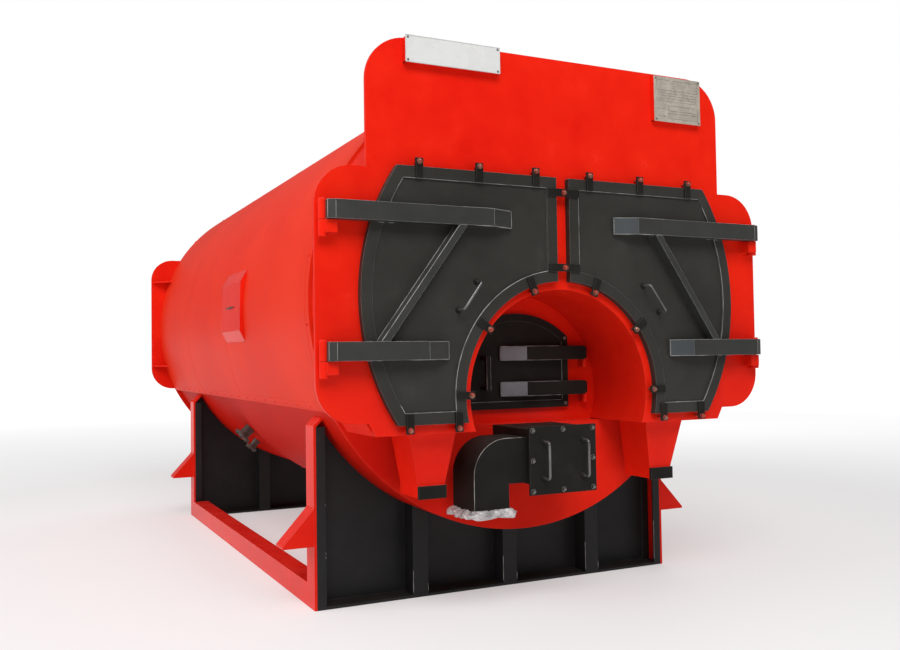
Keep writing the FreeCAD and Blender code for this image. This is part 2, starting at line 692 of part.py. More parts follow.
def fire_handle():
    face = fire_face()
    bar = box(-201, -179, face - 62, face - 40, 979, 1147)
    legs = [box(-199, -181, face - 41, face + FIRE_DISH, z, z + 18) for z in (984, 1124)]
    return fuse([bar] + legs)


def sign(place, out):
    """Thin plate on a standoff frame; returns plate and standoff."""
    x0, x1, z0, z1 = place
    plate = box(x0, x1, -out - SIGN_T, -out, z0, z1)
    return plate, box(x0 + 12, x1 - 12, -out, 0, z0 + 12, min(z1, BLOCK_TOP) - 12)


# ---------------------------------------------------------------- list of pieces
def pieces():
    title, title_back = sign(TITLE, SIGN_OUT[0])
    data, data_back = sign(DATA, SIGN_OUT[1])
    chute_, cap, side = hopper(), hopper_cap(), side_access_cover()
    lug_side = [jacking_bracket(y) for y in SADDLE_Y]
    out = {
        "front_plate": front_plate(), "smoke_box": smoke_box(), "niche_liner": niche_liner(),
        "front_tube_plate": tube_plate(), "furnace_front": furnace_front(),
        "furnace_tube": furnace_tube(), "fire_grate": fire_grate(),
        "pressure_shell": pressure_shell(), "cladding_upper": cladding_upper(),
        "cladding_lower": cladding_lower(), "rear_plate": rear_plate(),
        "rear_gussets": rear_gussets(), "rear_cover": rear_cover(),
        "side_access_cover": side, "shell_nozzles": shell_nozzles(),
        "front_saddle": saddle(SADDLE_Y[0]), "front_saddle_sides": saddle_sides(SADDLE_Y[0]),
        "rear_saddle": saddle(SADDLE_Y[1]), "rear_saddle_sides": saddle_sides(SADDLE_Y[1]),
        "right_skid": skid(), "left_skid": mirror(skid()),
        "right_jacking_brackets": Part.makeCompound(lug_side),
        "left_jacking_brackets": Part.makeCompound([mirror(s) for s in lug_side]),
        "right_soot_hopper": chute_, "left_soot_hopper": mirror(chute_),
        "right_hopper_cap": cap, "left_hopper_cap": mirror(cap),
        "ash_pit_box": ash_pit_box(), "ash_pit_cover": ash_pit_cover(),
        "ash_cover_handles": cover_handles(),
        "air_duct": air_duct(), "duct_film": duct_film(),
        "title_plate": title, "data_plate": data,
        "plate_standoffs": Part.makeCompound([title_back, data_back]),
        "right_door_hinges": hinge_knuckles(), "left_door_hinges": mirror(hinge_knuckles()),
        "fire_door_hinges": fire_knuckles(),
        "fire_door_panel": fire_door_panel(), "fire_door_straps": fire_straps(),
        "fire_door_eyes": fire_eyes(), "fire_door_handle": fire_handle(),
    }
    makers = {"panel": door_panel, "straps": door_straps,
              "hinge_eyes": door_eyes, "handle": door_handle,
              "lugs": door_lugs, "bolts": door_bolts}
    for part, make in makers.items():
        shape = make()
        out["right_door_" + part] = shape
        out["left_door_" + part] = mirror(shape)
    mids = [s for z in MID_BOLT_Z for s in bolt_at(0, z)]
    out["left_door_brace"], out["right_door_brace"] = mirror(door_brace("left")), door_brace("right")
    for side in ("left", "right"):
        out[side + "_door_lugs"] = Part.makeCompound(out[side + "_door_lugs"].Solids + centre_lugs(side))
    out["left_door_bolts"] = Part.makeCompound(out["left_door_bolts"].Solids + mids)
    return out


def main():
    os.makedirs("parts", exist_ok=True)
    shapes = pieces()
    boxes = [s.BoundBox for s in shapes.values()]
    dx = -(min(b.XMin for b in boxes) + max(b.XMax for b in boxes)) / 2
    dy = -(min(b.YMin for b in boxes) + max(b.YMax for b in boxes)) / 2
    print("offset", round(dx, 4), round(dy, 4), "height", max(b.ZMax for b in boxes))
    for name, shape in sorted(shapes.items()):
        placed = moved(shape, x=dx, y=dy)
        placed.exportStep("parts/" + name + ".step")
        print(name, len(placed.Solids), placed.isValid(), round(placed.Volume / 1e9, 5))


main()
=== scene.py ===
"""Solid-fuel smoke-tube boiler in red enamel with black doors: finishes and fittings over the
CAD frame.  Metres, +Z up, doors towards -Y."""
import math
import random

import bpy
from mathutils import Matrix, Vector, noise


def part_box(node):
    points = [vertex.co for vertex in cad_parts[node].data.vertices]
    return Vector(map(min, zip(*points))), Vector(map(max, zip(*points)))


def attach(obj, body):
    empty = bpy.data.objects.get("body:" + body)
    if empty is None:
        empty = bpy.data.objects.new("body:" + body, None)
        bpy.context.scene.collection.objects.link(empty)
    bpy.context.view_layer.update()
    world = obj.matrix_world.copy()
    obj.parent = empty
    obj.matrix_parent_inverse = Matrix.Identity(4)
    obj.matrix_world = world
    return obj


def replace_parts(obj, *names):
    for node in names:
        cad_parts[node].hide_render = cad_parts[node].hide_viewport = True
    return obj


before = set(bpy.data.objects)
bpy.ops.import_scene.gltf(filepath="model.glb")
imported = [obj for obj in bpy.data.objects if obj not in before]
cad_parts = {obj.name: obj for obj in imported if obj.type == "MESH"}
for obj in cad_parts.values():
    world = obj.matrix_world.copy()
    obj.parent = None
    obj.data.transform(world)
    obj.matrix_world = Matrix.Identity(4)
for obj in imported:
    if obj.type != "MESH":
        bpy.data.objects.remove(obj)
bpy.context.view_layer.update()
scene = bpy.context.scene

# ------------------------------------------------------------------------- standpoint
# The boiler is looked at by someone standing low and left of the doors, near enough that
# the shell falls away steeply behind the front plate.
face_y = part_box("front_plate")[0].y


def at(x, y, z):
    """Millimetres from the centre line, the front plate's face and the floor."""
    return Vector((x / 1000, face_y + y / 1000, z / 1000))


turn, lift, lean = math.radians(25.94), math.radians(1.91), -0.0147
ahead = Vector((math.sin(turn) * math.cos(lift), math.cos(turn) * math.cos(lift), math.sin(lift)))
level = Vector((math.cos(turn), -math.sin(turn), 0))
upright = level.cross(ahead)
across = level * math.cos(lean) + upright * math.sin(lean)
over = upright * math.cos(lean) - level * math.sin(lean)
camera = bpy.data.objects.new("standpoint", bpy.data.cameras.new("standpoint"))
camera.data.sensor_width, camera.data.lens = 36.0, 37.24
camera.data.clip_end = 200.0
eye = at(-2280, -3545, 1148)
camera.matrix_world = Matrix(((across.x, over.x, -ahead.x, eye.x),
                              (across.y, over.y, -ahead.y, eye.y),
                              (across.z, over.z, -ahead.z, eye.z), (0, 0, 0, 1)))
scene.collection.objects.link(camera)
scene.camera = camera


# ------------------------------------------------------------------------- studio
# A pale sealed floor with one broad soft lamp high in front, another high on the left and a
# weak one behind.  The wall that the doors face is dim, so the red stays deep.
class Tone:
    """A shader socket: sums on it add Math nodes, and add() puts in any other node."""

    def __init__(self, tree, socket=None):
        self.tree, self.socket = tree, socket

    def add(self, kind, settings=None, values=None, out=0):
        made = self.tree.nodes.new(kind)
        for name, value in (settings or {}).items():
            if name == "stops":
                for i, (place, colour) in enumerate(value):
                    stops = made.color_ramp.elements
                    stop = stops[i] if i < 2 else stops.new(place)
                    stop.position, stop.color = place, colour
            else:
                setattr(made, name, value)
        for name, value in (values or {}).items():
            if isinstance(value, Tone):
                self.tree.links.new(value.socket, made.inputs[name])
            else:
                made.inputs[name].default_value = value
        return Tone(self.tree, made.outputs[out] if len(made.outputs) else None)

    def maths(self, operation, *terms):
        return self.add("ShaderNodeMath", {"operation": operation}, dict(enumerate(terms)))

    def __add__(self, other):
        return self.maths("ADD", self, other)

    def __sub__(self, other):
        return self.maths("SUBTRACT", self, other)

    def __rsub__(self, other):
        return self.maths("SUBTRACT", other, self)

    def __mul__(self, other):
        return self.maths("MULTIPLY", self, other)

    __radd__ = __add__

    def held(self, low=0.0, high=1.0):
        """This tone stretched so that low reads 0 and high reads 1, and cut off there."""
        return self.add("ShaderNodeMapRange", {"clamp": True},
                        {0: self, 1: low, 2: high, 3: 0.0, 4: 1.0})

    def between(self, first, second):
        """The colour that runs from first to second as this tone runs from 0 to 1."""
        rgba = [c if isinstance(c, Tone) else tuple(c) + (1.0,) for c in (first, second)]
        return self.add("ShaderNodeMix", {"data_type": "RGBA"},
                        {0: self, 6: rgba[0], 7: rgba[1]}, 2)

    def cloud(self, scale, detail=3.0, rough=0.5, stretch=None):
        """Noise over this place, so many lumps to the metre."""
        place = self
        if stretch:
            place = self.add("ShaderNodeVectorMath", {"operation": "MULTIPLY"},
                             {0: self, 1: stretch})
        return self.add("ShaderNodeTexNoise", {}, {"Vector": place, "Scale": scale,
                                                   "Detail": detail, "Roughness": rough})


world = bpy.data.worlds.new("studio")
world.use_nodes = True
world.node_tree.nodes.clear()
sky = Tone(world.node_tree)
way = sky.add("ShaderNodeTexCoord")
east, north, high = (sky.add("ShaderNodeSeparateXYZ", None, {0: way}, i) for i in range(3))
bright = ((0.0 - east).held(0.05, 0.95) * 0.34 + high.held(0.15, 0.95) * 0.24
          + north.held(-0.2, 0.8) * 0.20 + 0.06)
seen = sky.add("ShaderNodeLightPath", out=0)
bright = seen + (1.0 - seen) * bright
glow = sky.add("ShaderNodeBackground", None,
               {"Color": bright.between((0, 0, 0), (1.0, 1.0, 1.0)), "Strength": 1.0})
sky.add("ShaderNodeOutputWorld", None, {"Surface": glow})
scene.world = world
scene.view_settings.view_transform = "Standard"


def soft_lamp(name, place, aim, size, power):
    lamp = bpy.data.lights.new(name, "AREA")
    lamp.shape, lamp.size, lamp.size_y, lamp.energy = "RECTANGLE", size[0], size[1], power
    holder = bpy.data.objects.new(name, lamp)
    holder.location = place
    holder.rotation_euler = (Vector(aim) - Vector(place)).to_track_quat("-Z", "Y").to_euler()
    scene.collection.objects.link(holder)


soft_lamp("front_softbox", (-2.5, -9.0, 8.5), (0.0, -1.5, 1.2), (7.0, 5.0), 790)
soft_lamp("left_softbox", (-9.0, -0.5, 5.5), (-0.6, -0.2, 1.3), (7.0, 4.0), 320)
soft_lamp("rear_softbox", (6.5, 7.0, 6.0), (0.3, 1.0, 1.4), (6.0, 5.0), 210)

span, drop = 70, 0.0008
mesh = bpy.data.meshes.new("floor")
mesh.from_pydata([(-span, -span, 0), (span, -span, 0), (span, span, 0), (-span, span, 0)],
                 [], [(0, 1, 2, 3)])
floor = bpy.data.objects.new("floor", mesh)
floor.location.z = -drop
scene.collection.objects.link(floor)
sealed = bpy.data.materials.new("sealed_floor")
sealed.use_nodes = True
sealed.node_tree.nodes.clear()
tone = Tone(sealed.node_tree)
place = tone.add("ShaderNodeTexCoord", out=3)
patch = place.cloud(0.5, 4.0)
away = tone.add("ShaderNodeVectorMath", {"operation": "LENGTH"}, {0: place}, 1).held(4.0, 16.0)
tone.add("ShaderNodeOutputMaterial", None, {"Surface": tone.add("ShaderNodeBsdfPrincipled", None, {
    "Base Color": patch.between((0.54, 0.54, 0.54), (0.58, 0.58, 0.58)), "Roughness": 0.8,
    "Specular IOR Level": 0.05, "Emission Strength": 1.0,
    "Emission Color": away.between((0.37, 0.37, 0.37), (0.88, 0.88, 0.88))})})
mesh.materials.append(sealed)


# ------------------------------------------------------------------------- red enamel
# The shell, plates, saddle sides and hinges are mild steel sprayed with gloss red enamel.  It
# lies with a slight orange peel, is a little thin on edges and holds some dust on top.
def enamel(name, deep, bright, worn, gloss=0.2, wear=0.35, dust=0.06, radius=0.003, soot=0.0,
           sheen=0.08, blotch=0.5, film=0.0, clean=None):
    made = bpy.data.materials.new(name)
    made.use_nodes = True
    made.node_tree.nodes.clear()
    tone = Tone(made.node_tree)
    place = tone.add("ShaderNodeTexCoord", out=3)
    broad, patchy = place.cloud(1.1, 3.0), place.cloud(7.0, 5.0, 0.6)
    fine, peel = place.cloud(38.0, 4.0, 0.6), place.cloud(210.0, 2.0)
    runs = place.cloud(9.0, 3.0, 0.5, (1.0, 1.0, 0.12))
    rounded = tone.add("ShaderNodeBevel", {"samples": 4}, {"Radius": radius})
    facing = tone.add("ShaderNodeNewGeometry", out=1)
    same = tone.add("ShaderNodeVectorMath", {"operation": "DOT_PRODUCT"}, {0: rounded, 1: facing}, 1)
    edge = ((1.0 - same) * 5.0 + (fine - 0.62) * 1.1).held(0.12, 0.8) * wear
    up = tone.add("ShaderNodeSeparateXYZ", None, {0: facing}, 2).held(0.25, 0.95)
    powder = (up * (patchy.held(0.3, 0.75) * 0.7 + 0.3)
              + patchy.held(0.62, 0.85) * 0.25) * dust
    mixed = (broad * (1.0 - blotch) + patchy * blotch).held(0.32, 0.68)
    colour = mixed.between(deep, bright)
    colour = (runs.held(0.62, 0.8) * 0.16).between(colour, deep)
    colour = powder.between(colour, (0.42, 0.36, 0.33))
    colour = edge.between(colour, worn)
    if soot:
        black_dust = patchy.held(0.1, 0.5) * soot
        if clean:                               # the soot's radius, its centre and its foot
            wide, middle, foot = clean
            x, z = (tone.add("ShaderNodeSeparateXYZ", None, {0: place}, i) for i in (0, 2))
            far = tone.maths("SQRT", x * x + (z - middle) * (z - middle))
            black_dust = (black_dust * (1.0 - far.held(wide, wide + 0.001))
                          * z.held(foot, foot + 0.002))
        colour = black_dust.between(colour, (0.012, 0.010, 0.009))
    rough = gloss + patchy * 0.10 + powder * 0.9 + edge * 0.25 + soot * 0.35
    height = peel * 0.35 + fine * 0.35 + patchy * 0.8
    relief = tone.add("ShaderNodeBump", None, {"Strength": 0.22, "Distance": 0.0012,
                                               "Height": height, "Normal": rounded})
    shader = tone.add("ShaderNodeBsdfPrincipled", None, {
        "Base Color": colour, "Roughness": rough, "Normal": relief, "Specular IOR Level": sheen,
        "Coat Weight": film, "Coat Roughness": 0.12})
    tone.add("ShaderNodeOutputMaterial", None, {"Surface": shader})
    return made


def coat(finish, *names):
    """Give CAD nodes a finish."""
    for name in names:
        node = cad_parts[name]
        node.data.materials.clear()
        node.data.materials.append(finish)


red = enamel("red_enamel", (0.69, 0.010, 0.004), (0.83, 0.020, 0.006), (0.82, 0.16, 0.10),
             wear=0.25)
# The upper cladding takes a lighter, more orange copy of the red, with its own reflection kept weak:
# the extra orange is painted sheen of the bright sky on the shell's top.
sheen_lit_shell_red = enamel("shell_enamel_painted_sheen", (0.68, 0.020, 0.006), (0.80, 0.036, 0.010), (0.84, 0.20, 0.13),
                   gloss=0.40, dust=0.05, radius=0.002, blotch=0.3, sheen=0.05, wear=0.25)
coat(red, "front_plate", "niche_liner", "furnace_front", "rear_plate",
     "rear_gussets", "rear_cover", "front_saddle_sides", "rear_saddle_sides", "right_skid",
     "left_skid", "right_jacking_brackets", "left_jacking_brackets", "right_soot_hopper",
     "left_soot_hopper", "right_door_hinges", "left_door_hinges", "fire_door_hinges",
     "left_door_hinge_eyes", "right_door_hinge_eyes", "plate_standoffs", "side_access_cover")
# A darker copy of the shell red for the lower cladding and the pressure shell: painted shade on the
# half of the shell that faces down, away from the lamps.
shaded_low_red = enamel("lower_shell_painted_shade", (0.46, 0.007, 0.003), (0.58, 0.012, 0.004),
                 (0.74, 0.16, 0.10), gloss=0.42, dust=0.03, radius=0.002, blotch=0.3, sheen=0.03,
                 wear=0.25)
coat(sheen_lit_shell_red, "cladding_upper")
coat(shaded_low_red, "cladding_lower", "pressure_shell")
sooted = enamel("sooted_enamel", (0.66, 0.010, 0.004), (0.80, 0.020, 0.006), (0.5, 0.16, 0.12),
                gloss=0.3, soot=0.96, clean=(1.062, 1.398, 0.826))
burnt = enamel("burnt_plate", (0.06, 0.030, 0.022), (0.13, 0.07, 0.05), (0.2, 0.16, 0.13),
               gloss=0.55, dust=0.3, soot=0.75)
coat(sooted, "smoke_box", "front_tube_plate")
coat(burnt, "furnace_tube")


# ------------------------------------------------------------------------- black enamel
# Doors, straps, handles, ash box and duct are sprayed satin black, rubbed to grey along their
# edges and marked by hands and dust.  The saddle webs are a bluer black, flat and clean.
black = enamel("black_enamel", (0.020, 0.019, 0.016), (0.036, 0.034, 0.030), (0.34, 0.33, 0.30),
               gloss=0.40, wear=0.75, dust=0.10, radius=0.0025, sheen=0.22, film=0.03)
cast_black = enamel("flat_black", (0.008, 0.0075, 0.006), (0.019, 0.0175, 0.015),
                    (0.20, 0.19, 0.17), gloss=0.5, wear=0.55, dust=0.06, radius=0.0025, sheen=0.10)
strap_black = enamel("strap_enamel", (0.024, 0.024, 0.022), (0.040, 0.040, 0.037),
                     (0.46, 0.47, 0.47), gloss=0.36, wear=0.95, dust=0.12, radius=0.003,
                     sheen=0.3, film=0.05)
web_black = enamel("web_enamel", (0.010, 0.010, 0.010), (0.020, 0.020, 0.021),
                   (0.10, 0.10, 0.11), gloss=0.42, wear=0.4, dust=0.04, radius=0.003, sheen=0.22)
coat(black, "left_door_panel", "right_door_panel")
coat(cast_black, "left_door_lugs", "right_door_lugs", "fire_door_panel", "ash_pit_box",
     "ash_pit_cover", "air_duct", "left_hopper_cap", "right_hopper_cap", "fire_door_handle",
     "fire_door_eyes", "fire_door_straps")
coat(strap_black, "left_door_straps", "right_door_straps", "left_door_brace", "right_door_brace")
coat(web_black, "front_saddle", "rear_saddle")


# ------------------------------------------------------------------------- clamp bolts
# Each door is pulled down by 12 mm studs through flat lugs: a plain washer, a hexagon nut and
# the stud's end.  They are bare steel, browned by the heat and splashed with the red.
def metal(name, dark, light, rough=0.3, stain=(0.20, 0.07, 0.03), stained=0.5, grain=None,
          splash=0.0):
    made = bpy.data.materials.new(name)
    made.use_nodes = True
    made.node_tree.nodes.clear()
    tone = Tone(made.node_tree)
    place = tone.add("ShaderNodeTexCoord", out=3)
    patchy, fine = place.cloud(22.0, 4.0, 0.6), place.cloud(160.0, 3.0, 0.6)
    lines = place.cloud(60.0, 2.0, 0.5, grain) if grain else fine
    rounded = tone.add("ShaderNodeBevel", {"samples": 4}, {"Radius": 0.001})
    rust = (patchy * 0.7 + fine * 0.3).held(0.46, 0.66) * stained
    colour = rust.between((lines * 0.6 + patchy * 0.4).between(dark, light), stain)
    if splash:
        colour = (patchy.held(0.44, 0.54) * splash).between(colour, (0.62, 0.022, 0.008))
    relief = tone.add("ShaderNodeBump", None, {"Strength": 0.25, "Distance": 0.0006,
                                               "Height": lines * 0.6 + rust, "Normal": rounded})
    shader = tone.add("ShaderNodeBsdfPrincipled", None, {
        "Base Color": colour, "Roughness": rough + lines * 0.18 + rust * 0.35, "Normal": relief,
        "Metallic": 1.0 - rust * 0.7})
    tone.add("ShaderNodeOutputMaterial", None, {"Surface": shader})
    return made


class Work:
    """The points and faces of one piece while it is being made."""

    def __init__(self):
        self.points, self.faces = [], []

    def skin(self, rows, ends=True):
        """Cover rows of points, each row a closed ring, and close both ends."""
        start, n = len(self.points), len(rows[0])
        for row in rows:
            self.points.extend(row)
        for i in range(len(rows) - 1):
            a, b = start + i * n, start + (i + 1) * n
            for j in range(n):
                k = (j + 1) % n
                self.faces.append((a + j, a + k, b + k, b + j))
        if ends:
            self.faces.append(tuple(start + n - 1 - j for j in range(n)))
            self.faces.append(tuple(start + (len(rows) - 1) * n + j for j in range(n)))

    def turned(self, centre, axis, profile, steps, phase=0.0):
        """Turn (distance along the axis, radius) pairs in millimetres about an axis."""
        axis = Vector(axis).normalized()
        side = axis.orthogonal().normalized()
        other = axis.cross(side)
        spin = [phase + math.tau * k / steps for k in range(steps)]
        self.skin([[Vector(centre) + axis * (h / 1000)
                    + (side * math.cos(a) + other * math.sin(a)) * (r / 1000) for a in spin]
                   for h, r in profile])

    def swept(self, path, radius, sides):
        """Run a round section along a path; radius may vary from point to point."""
        rows, side = [], None
        for i, spot in enumerate(path):
            run = (path[min(i + 1, len(path) - 1)] - path[max(i - 1, 0)]).normalized()
            side = run.orthogonal() if side is None else side - run * side.dot(run)
            side.normalize()
            other = run.cross(side)
            r = radius[i] if isinstance(radius, list) else radius
            rows.append([spot + (side * math.cos(a) * r + other * math.sin(a) * r) / 1000
                         for a in (math.tau * k / sides for k in range(sides))])
        self.skin(rows)

    def bar(self, low, high, c):
        """A flat bar or plate in millimetres with so much taken off its front edges."""
        (x0, y0, z0), (x1, y1, z1) = low, high
        self.skin([[at(x, y, z) for x, z in ((x0 + i, z0 + i), (x1 - i, z0 + i),
                                             (x1 - i, z1 - i), (x0 + i, z1 - i))]
                   for y, i in ((y1, 0), (y0 + c, 0), (y0, c))])

    def bead(self, path, size, seed):
        """A hand-laid weld: an overlapping row of small scallops along a path."""
        chance, run, spots = random.Random(seed), 0.0, []
        for a, b in zip(path, path[1:]):
            length = (b - a).length * 1000
            while run < length:
                spots.append(a.lerp(b, run / length))
                run += size * 0.42
            run -= length
        if len(spots) < 3:
            return
        sizes = [size * (0.86 + 0.2 * abs(math.sin(i * 0.95)) + chance.uniform(-0.06, 0.06))
                 for i in range(len(spots))]
        sizes[0] = sizes[-1] = size * 0.5
        self.swept(spots, sizes, 6)

    def finish(self, name, finish, body, slot, smooth=40.0):
        made = bpy.data.meshes.new(name)
        made.from_pydata([tuple(p) for p in self.points], [], self.faces)
        made.materials.append(finish)
        made.shade_smooth()
        made.set_sharp_from_angle(angle=math.radians(smooth))
        piece = bpy.data.objects.new(name, made)
        scene.collection.objects.link(piece)
        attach(piece, body)
        return piece


def solids_of(node):
    """The lowest and highest corners of each separate solid in a CAD node."""
    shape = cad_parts[node].data
    spots = {}
    owner = [spots.setdefault(tuple(round(c, 5) for c in v.co), i)
             for i, v in enumerate(shape.vertices)]

    def top(i):
        while owner[i] != i:
            i = owner[i]
        return i

    for face in shape.polygons:
        first = top(face.vertices[0])
        for v in face.vertices[1:]:
            owner[top(v)] = first
    groups = {}
    for i, v in enumerate(shape.vertices):
        groups.setdefault(top(i), []).append(v.co)
    return [tuple(Vector([pick(c[k] for c in g) for k in range(3)]) for pick in (min, max))
            for g in groups.values()]


nut_steel = metal("nut_steel", (0.12, 0.06, 0.045), (0.62, 0.36, 0.28), 0.22,
                  (0.22, 0.055, 0.03), 0.5, splash=0.55)
thread, groove = 5.9, 0.6                                   # radius over the thread, and its depth
for hand in ("left", "right"):
    work, chance = Work(), random.Random(11)
    for low, high in solids_of(hand + "_door_bolts"):
        mid = (low + high) / 2
        if high.x - low.x < 0.016:                          # the stud between lug and plate
            work.turned(Vector((mid.x, high.y, mid.z)), (0, -1, 0),
                        [(h, thread - groove * (i % 2)) for i, h in enumerate(range(0, 34, 2))], 16)
            continue
        seat = Vector((mid.x, high.y, mid.z))
        spin = chance.uniform(0, 1)
        work.turned(seat, (0, -1, 0), [(-0.3, 12.4), (1.6, 12.4), (2.0, 11.8)], 28)
        work.turned(seat, (0, -1, 0), [(2.0, 9.8), (3.0, 11.0), (9.6, 11.0), (11, 9.2)], 6, spin)
        work.turned(seat, (0, -1, 0), [(10.5, thread)]
                    + [(11 + h * 0.7, thread - groove * (h % 2)) for h in range(9)]
                    + [(17.4, 4.6)], 16)
    nuts = work.finish(hand + "_clamp_nuts", nut_steel, hand + "_door", "bare_steel", 30)
    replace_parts(nuts, hand + "_door_bolts")

# ------------------------------------------------------------------------- door handles
# A 12 mm round bar bent twice and welded square to the panel, lifted off a little by a
# scallop of weld at each foot.  The black is rubbed thin where it is gripped.
bar_r = 6.0
rubbed = enamel("rubbed_enamel", (0.012, 0.012, 0.011), (0.13, 0.127, 0.117), (0.60, 0.58, 0.54),
                gloss=0.18, wear=0.4, dust=0.05, radius=0.002, sheen=0.8, blotch=0.9, film=0.5)


def bent(corners, radius):
    """A path through corners with each bend rounded."""
    path = [corners[0]]
    for before, here, after in zip(corners, corners[1:], corners[2:]):
        r = radius / 1000
        a, b = here + (before - here).normalized() * r, here + (after - here).normalized() * r
        path += [(a.lerp(here, t)).lerp(here.lerp(b, t), t) for t in (k / 8 for k in range(9))]
    return path + [corners[-1]]


def grip(work, blobs, foot, out, far, phase):
    """One bent bar with its welds, from a foot on the panel out and back to the far foot."""
    reach = Vector((0, -out / 1000, 0))
    work.swept(bent([foot, foot + reach, far + reach, far], 16), bar_r, 14)
    for spot in (foot, far):
        blobs.turned(spot, (0, -1, 0), [(-1, 14.5), (2.5, 14), (6.5, 11.5), (11, 7.6), (14, 6.2)],
                     14, phase)


r = bar_r / 1000
for hand, order in (("left", 1), ("right", -1)):
    (low, high), = solids_of(hand + "_door_handle")
    upper_x, lower_x = (high.x - r, low.x + r)[::order]
    work, blobs = Work(), Work()
    grip(work, blobs, Vector((upper_x, high.y, high.z - r)), (high.y - low.y) * 1000 - bar_r,
         Vector((lower_x, high.y, low.z + r)), 0.3)
    blobs.finish(hand + "_handle_welds", cast_black, hand + "_door", "black_paint")
    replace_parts(work.finish(hand + "_bent_handle", rubbed, hand + "_door", "black_paint"),
                hand + "_door_handle")
work, blobs = Work(), Work()
for low, high in solids_of("ash_cover_handles"):
    x = (low.x + high.x) / 2
    grip(work, blobs, Vector((x, high.y, high.z - r)), (high.y - low.y) * 1000 - bar_r,
         Vector((x, high.y, low.z + r)), 0.7)
blobs.finish("ash_grip_welds", cast_black, "boiler", "black_paint")
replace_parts(work.finish("ash_cover_grips", rubbed, "boiler", "black_paint"), "ash_cover_handles")

# ------------------------------------------------------------------------- hinge welds
# The square hinge blocks and barrels are arc welded to the ears all round and then painted
# over, so each joint shows as a soft scalloped bead of red.
work = Work()
pin_x, knuckle, block = 1121, 64, 52
for hand, side in (("left", -1), ("right", 1)):
    for k, (low, high) in enumerate(solids_of(hand + "_door_hinges")):
        x0, x1 = sorted((side * (pin_x - 50), side * (pin_x - 2)))
        top, foot = high.z * 1000 - knuckle - 2, low.z * 1000
        base = top - block
        for a, b in (((x0, base), (x1, base)), ((x0, base), (x0, top)), ((x1, top), (x1, base))):
            work.bead([at(a[0], -1, a[1]), at(b[0], -1, b[1])], 4.5, k)
        back = side * pin_x - 9
        work.bead([at(back, -2, foot + 12), at(back, -2, top)], 4.0, k)
work.finish("hinge_welds", red, "boiler", "red_paint")

work = Work()
for low, high in solids_of("fire_door_hinges"):
    for x in (low.x, high.x):
        work.bead([Vector((x, high.y - 0.001, low.z + h)) for h in (0.002, 0.042)], 3.0, 3)
work.finish("fire_hinge_welds", red, "boiler", "red_paint")

# ------------------------------------------------------------------------- maker's plates
# A white plate and an etched metal plate, each held by four small screws on a tray of red
# sheet.  Both are left blank; the metal one has ruled boxes for stamping.
screw_steel = metal("screw_steel", (0.10, 0.10, 0.10), (0.26, 0.25, 0.24), 0.35, stained=0.4)
white_tray = enamel("white_stove_enamel", (0.60, 0.60, 0.59), (0.70, 0.70, 0.69),
                    (0.30, 0.29, 0.28), gloss=0.22, wear=0.8, dust=0.25, radius=0.0015, sheen=0.5)
etched = metal("etched_aluminium", (0.60, 0.54, 0.46), (0.80, 0.73, 0.63), 0.45,
               (0.36, 0.31, 0.25), 0.35, grain=(0.6, 1.0, 14.0))
ink = enamel("ruling_ink", (0.10, 0.09, 0.08), (0.16, 0.15, 0.14), (0.3, 0.28, 0.25), gloss=0.5)
coat(white_tray, "title_plate")
coat(etched, "data_plate")
work, tray, rules, back = Work(), Work(), Work(), Work()
tray_top = 2482                                             # just under the front plate's top edge
for node in ("title_plate", "data_plate"):
    low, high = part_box(node)
    x0, x1, z0, z1 = low.x * 1000, high.x * 1000, low.z * 1000, high.z * 1000
    front = (low.y - face_y) * 1000
    for a, b, c, d in ((x0 + 1, x0 + 4, z0 + 1, z1 - 1), (x1 - 4, x1 - 1, z0 + 1, z1 - 1),
                       (x0 + 1, x1 - 1, z0 + 1, z0 + 4)):
        back.bar((a, front + 3.1, c), (b, -0.5, min(d, tray_top)), 0.6)
    for x in (x0 + 11, x1 - 11):
        for z in (z0 + 10, z1 - 10):
            work.turned(at(x, front, z), (0, -1, 0),
                        [(-0.5, 5.2), (0.8, 5.2), (1.8, 4.4), (2.6, 2.6), (2.8, 1.0)], 18)
    if node == "title_plate":
        lip = 2.4
        for a, b, c, d in ((x0, z1 - lip, x1, z1), (x0, z0, x1, z0 + lip), (x0, z0, x0 + lip, z1),
                           (x1 - lip, z0, x1, z1)):
            tray.bar((a, front - 2.2, b), (c, front + 0.2, d), 0.7)
    else:
        wide, tall = x1 - x0, z1 - z0
        for u0, v0, u1, v1 in ((0.30, 0.08, 0.94, 0.20), (0.30, 0.25, 0.94, 0.37),
                               (0.06, 0.70, 0.94, 0.93)):
            a, b, c, d = x0 + wide * u0, x0 + wide * u1, z0 + tall * v0, z0 + tall * v1
            for box in ((a, c, b, c + 1.2), (a, d - 1.2, b, d), (a, c, a + 1.2, d),
                        (b - 1.2, c, b, d)):
                rules.bar((box[0], front - 0.35, box[1]), (box[2], front + 0.1, box[3]), 0.1)
        margin = wide * 0.07
        for heights, end, thick in (((0.46, 0.52, 0.58, 0.64), x1 - margin, 1.0),
                                    ((0.12, 0.29), x0 + wide * 0.24, 1.4)):
            for v in heights:
                z = z0 + tall * v
                rules.bar((x0 + margin, front - 0.3, z), (end, front + 0.1, z + thick), 0.1)
work.finish("plate_screws", screw_steel, "boiler", "bare_steel")
tray.finish("title_plate_lip", white_tray, "boiler", "white_plate")
back.finish("plate_trays", red, "boiler", "red_paint")
rules.finish("data_plate_rules", ink, "boiler", "metal_plate")

